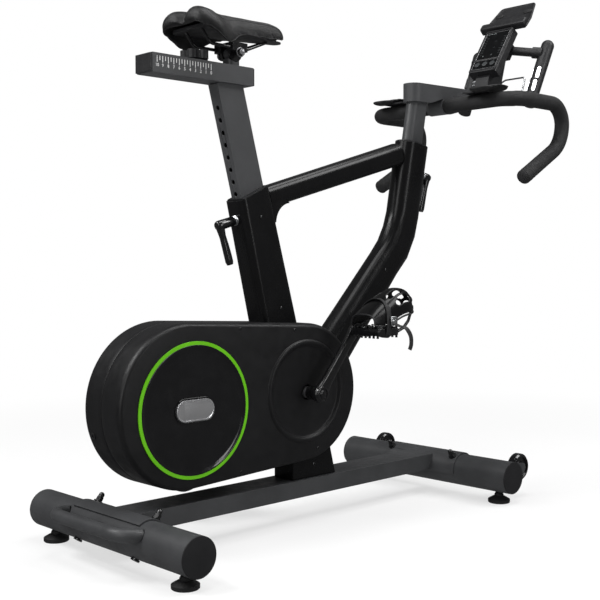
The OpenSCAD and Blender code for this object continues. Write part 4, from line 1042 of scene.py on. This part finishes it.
def rail_scale(side):
    parts = []
    y = side * 26.25
    for k in range(21):
        x = SCALE_START - SCALE_STEP * k
        drop = 12.5 if k % 2 == 0 else 8.5
        mark = ((-0.65, 0), (0.65, 0), (0.65, drop), (-0.65, drop))
        parts.append(loft([[P(x + a, y + side * b, 975 - c) for a, c in mark] for b in (0, 0.12)]))
    for k in range(11):
        verts, faces = number_mesh(str(k), 6.5)
        c = P(SCALE_START - 2 * SCALE_STEP * k, y + side * 0.12, 957.0)
        parts.append(([c + Vector((-v.x * side, 0, v.y)) for v in verts], faces))
    joined("rail_scale_" + SIDE[side], parts, white_print, "post", (), 30)


for side in (-1, 1):
    rail_scale(side)


# ---------- light, floor and camera ----------

floor_mat = bpy.data.materials.new("floor")
floor_mat.use_nodes = True
nt = floor_mat.node_tree
WHITE = (1, 1, 1, 1)
b = set_inputs(nt.nodes["Principled BSDF"], {"Roughness": 0.85, "Specular IOR Level": 0.15,
               "Base Color": (0.86, 0.86, 0.86, 1)})
out = nt.nodes["Material Output"]
coord = nt.nodes.new("ShaderNodeTexCoord")
far = nt.nodes.new("ShaderNodeVectorMath")
far.operation = "LENGTH"
nt.links.new(coord.outputs["Object"], far.inputs[0])
fade = nt.nodes.new("ShaderNodeMapRange")
fade.interpolation_type = "SMOOTHSTEP"
set_inputs(fade, {"From Min": 0.9, "From Max": 2.4, "To Min": 0.64})
nt.links.new(far.outputs["Value"], fade.inputs["Value"])
glow = set_inputs(nt.nodes.new("ShaderNodeEmission"), {"Color": WHITE, "Strength": 1.0})
blend = nt.nodes.new("ShaderNodeMixShader")
nt.links.new(fade.outputs["Result"], blend.inputs["Fac"])
nt.links.new(b.outputs["BSDF"], blend.inputs[1])
nt.links.new(glow.outputs["Emission"], blend.inputs[2])
nt.links.new(blend.outputs["Shader"], out.inputs["Surface"])

me = bpy.data.meshes.new("floor")
s = 14.0
me.from_pydata([(-s, -s, 0), (s, -s, 0), (s, s, 0), (-s, s, 0)], [], [(0, 1, 2, 3)])
floor = bpy.data.objects.new("floor", me)
bpy.context.collection.objects.link(floor)
me.materials.append(floor_mat)
floor.visible_glossy = False

world = bpy.data.worlds.new("studio")
bpy.context.scene.world = world
world.use_nodes = True
wn = world.node_tree
bg = set_inputs(wn.nodes["Background"], {"Color": WHITE, "Strength": 0.12})
seen = set_inputs(wn.nodes.new("ShaderNodeBackground"), {"Color": WHITE, "Strength": 1.0})
path_kind = wn.nodes.new("ShaderNodeLightPath")
pick = wn.nodes.new("ShaderNodeMixShader")
wn.links.new(path_kind.outputs["Is Camera Ray"], pick.inputs["Fac"])
wn.links.new(bg.outputs["Background"], pick.inputs[1])
wn.links.new(seen.outputs["Background"], pick.inputs[2])
wn.links.new(pick.outputs["Shader"], wn.nodes["World Output"].inputs["Surface"])


def area(name, place, aim, width, height, power):
    """A soft panel light; places are metres in the row frame."""
    data = bpy.data.lights.new(name, "AREA")
    data.shape = "RECTANGLE"
    data.size, data.size_y = width, height
    data.energy = power
    obj = bpy.data.objects.new(name, data)
    bpy.context.collection.objects.link(obj)
    place, aim = Vector(place), Vector(aim)
    obj.location = place
    obj.rotation_euler = (aim - place).to_track_quat("-Z", "Y").to_euler()


area("key", (-2.2, 0.9, 2.9), (0.0, 0.0, 0.5), 1.3, 1.3, 90)
area("front_fill", (1.6, -1.9, 3.0), (0.1, 0, 0.6), 1.8, 1.4, 68)
area("rider_side", (-2.8, -1.0, 1.5), (-0.1, 0, 0.6), 0.8, 2.2, 26)
area("overhead", (0.2, -0.4, 3.2), (0.1, 0, 0.4), 2.4, 1.0, 46)
area("side_strip", (0.6, -3.0, 1.1), (0.1, 0, 0.7), 0.5, 1.6, 14)

# the photo's own view: lens, direction and place fitted to points marked on it
cam_data = bpy.data.cameras.new("camera")
cam_data.lens = 62.32
cam_data.sensor_width = 36
cam_data.clip_end = 100
camera = bpy.data.objects.new("camera", cam_data)
bpy.context.collection.objects.link(camera)
az, pitch, roll = math.radians(43.65), math.radians(-2.21), math.radians(-0.19)
forward = Vector((math.sin(az) * math.cos(pitch), math.cos(az) * math.cos(pitch), math.sin(pitch)))
right = Vector((math.cos(az), -math.sin(az), 0))
up = right.cross(forward)
right2 = right * math.cos(roll) + up * math.sin(roll)
up2 = up * math.cos(roll) - right * math.sin(roll)
m = Matrix((right2, up2, -forward)).transposed().to_4x4()
m.translation = Vector((-1.73112, -1.6747, 0.5801))
camera.matrix_world = m
bpy.context.scene.camera = camera
bpy.context.scene.view_settings.view_transform = "Standard"
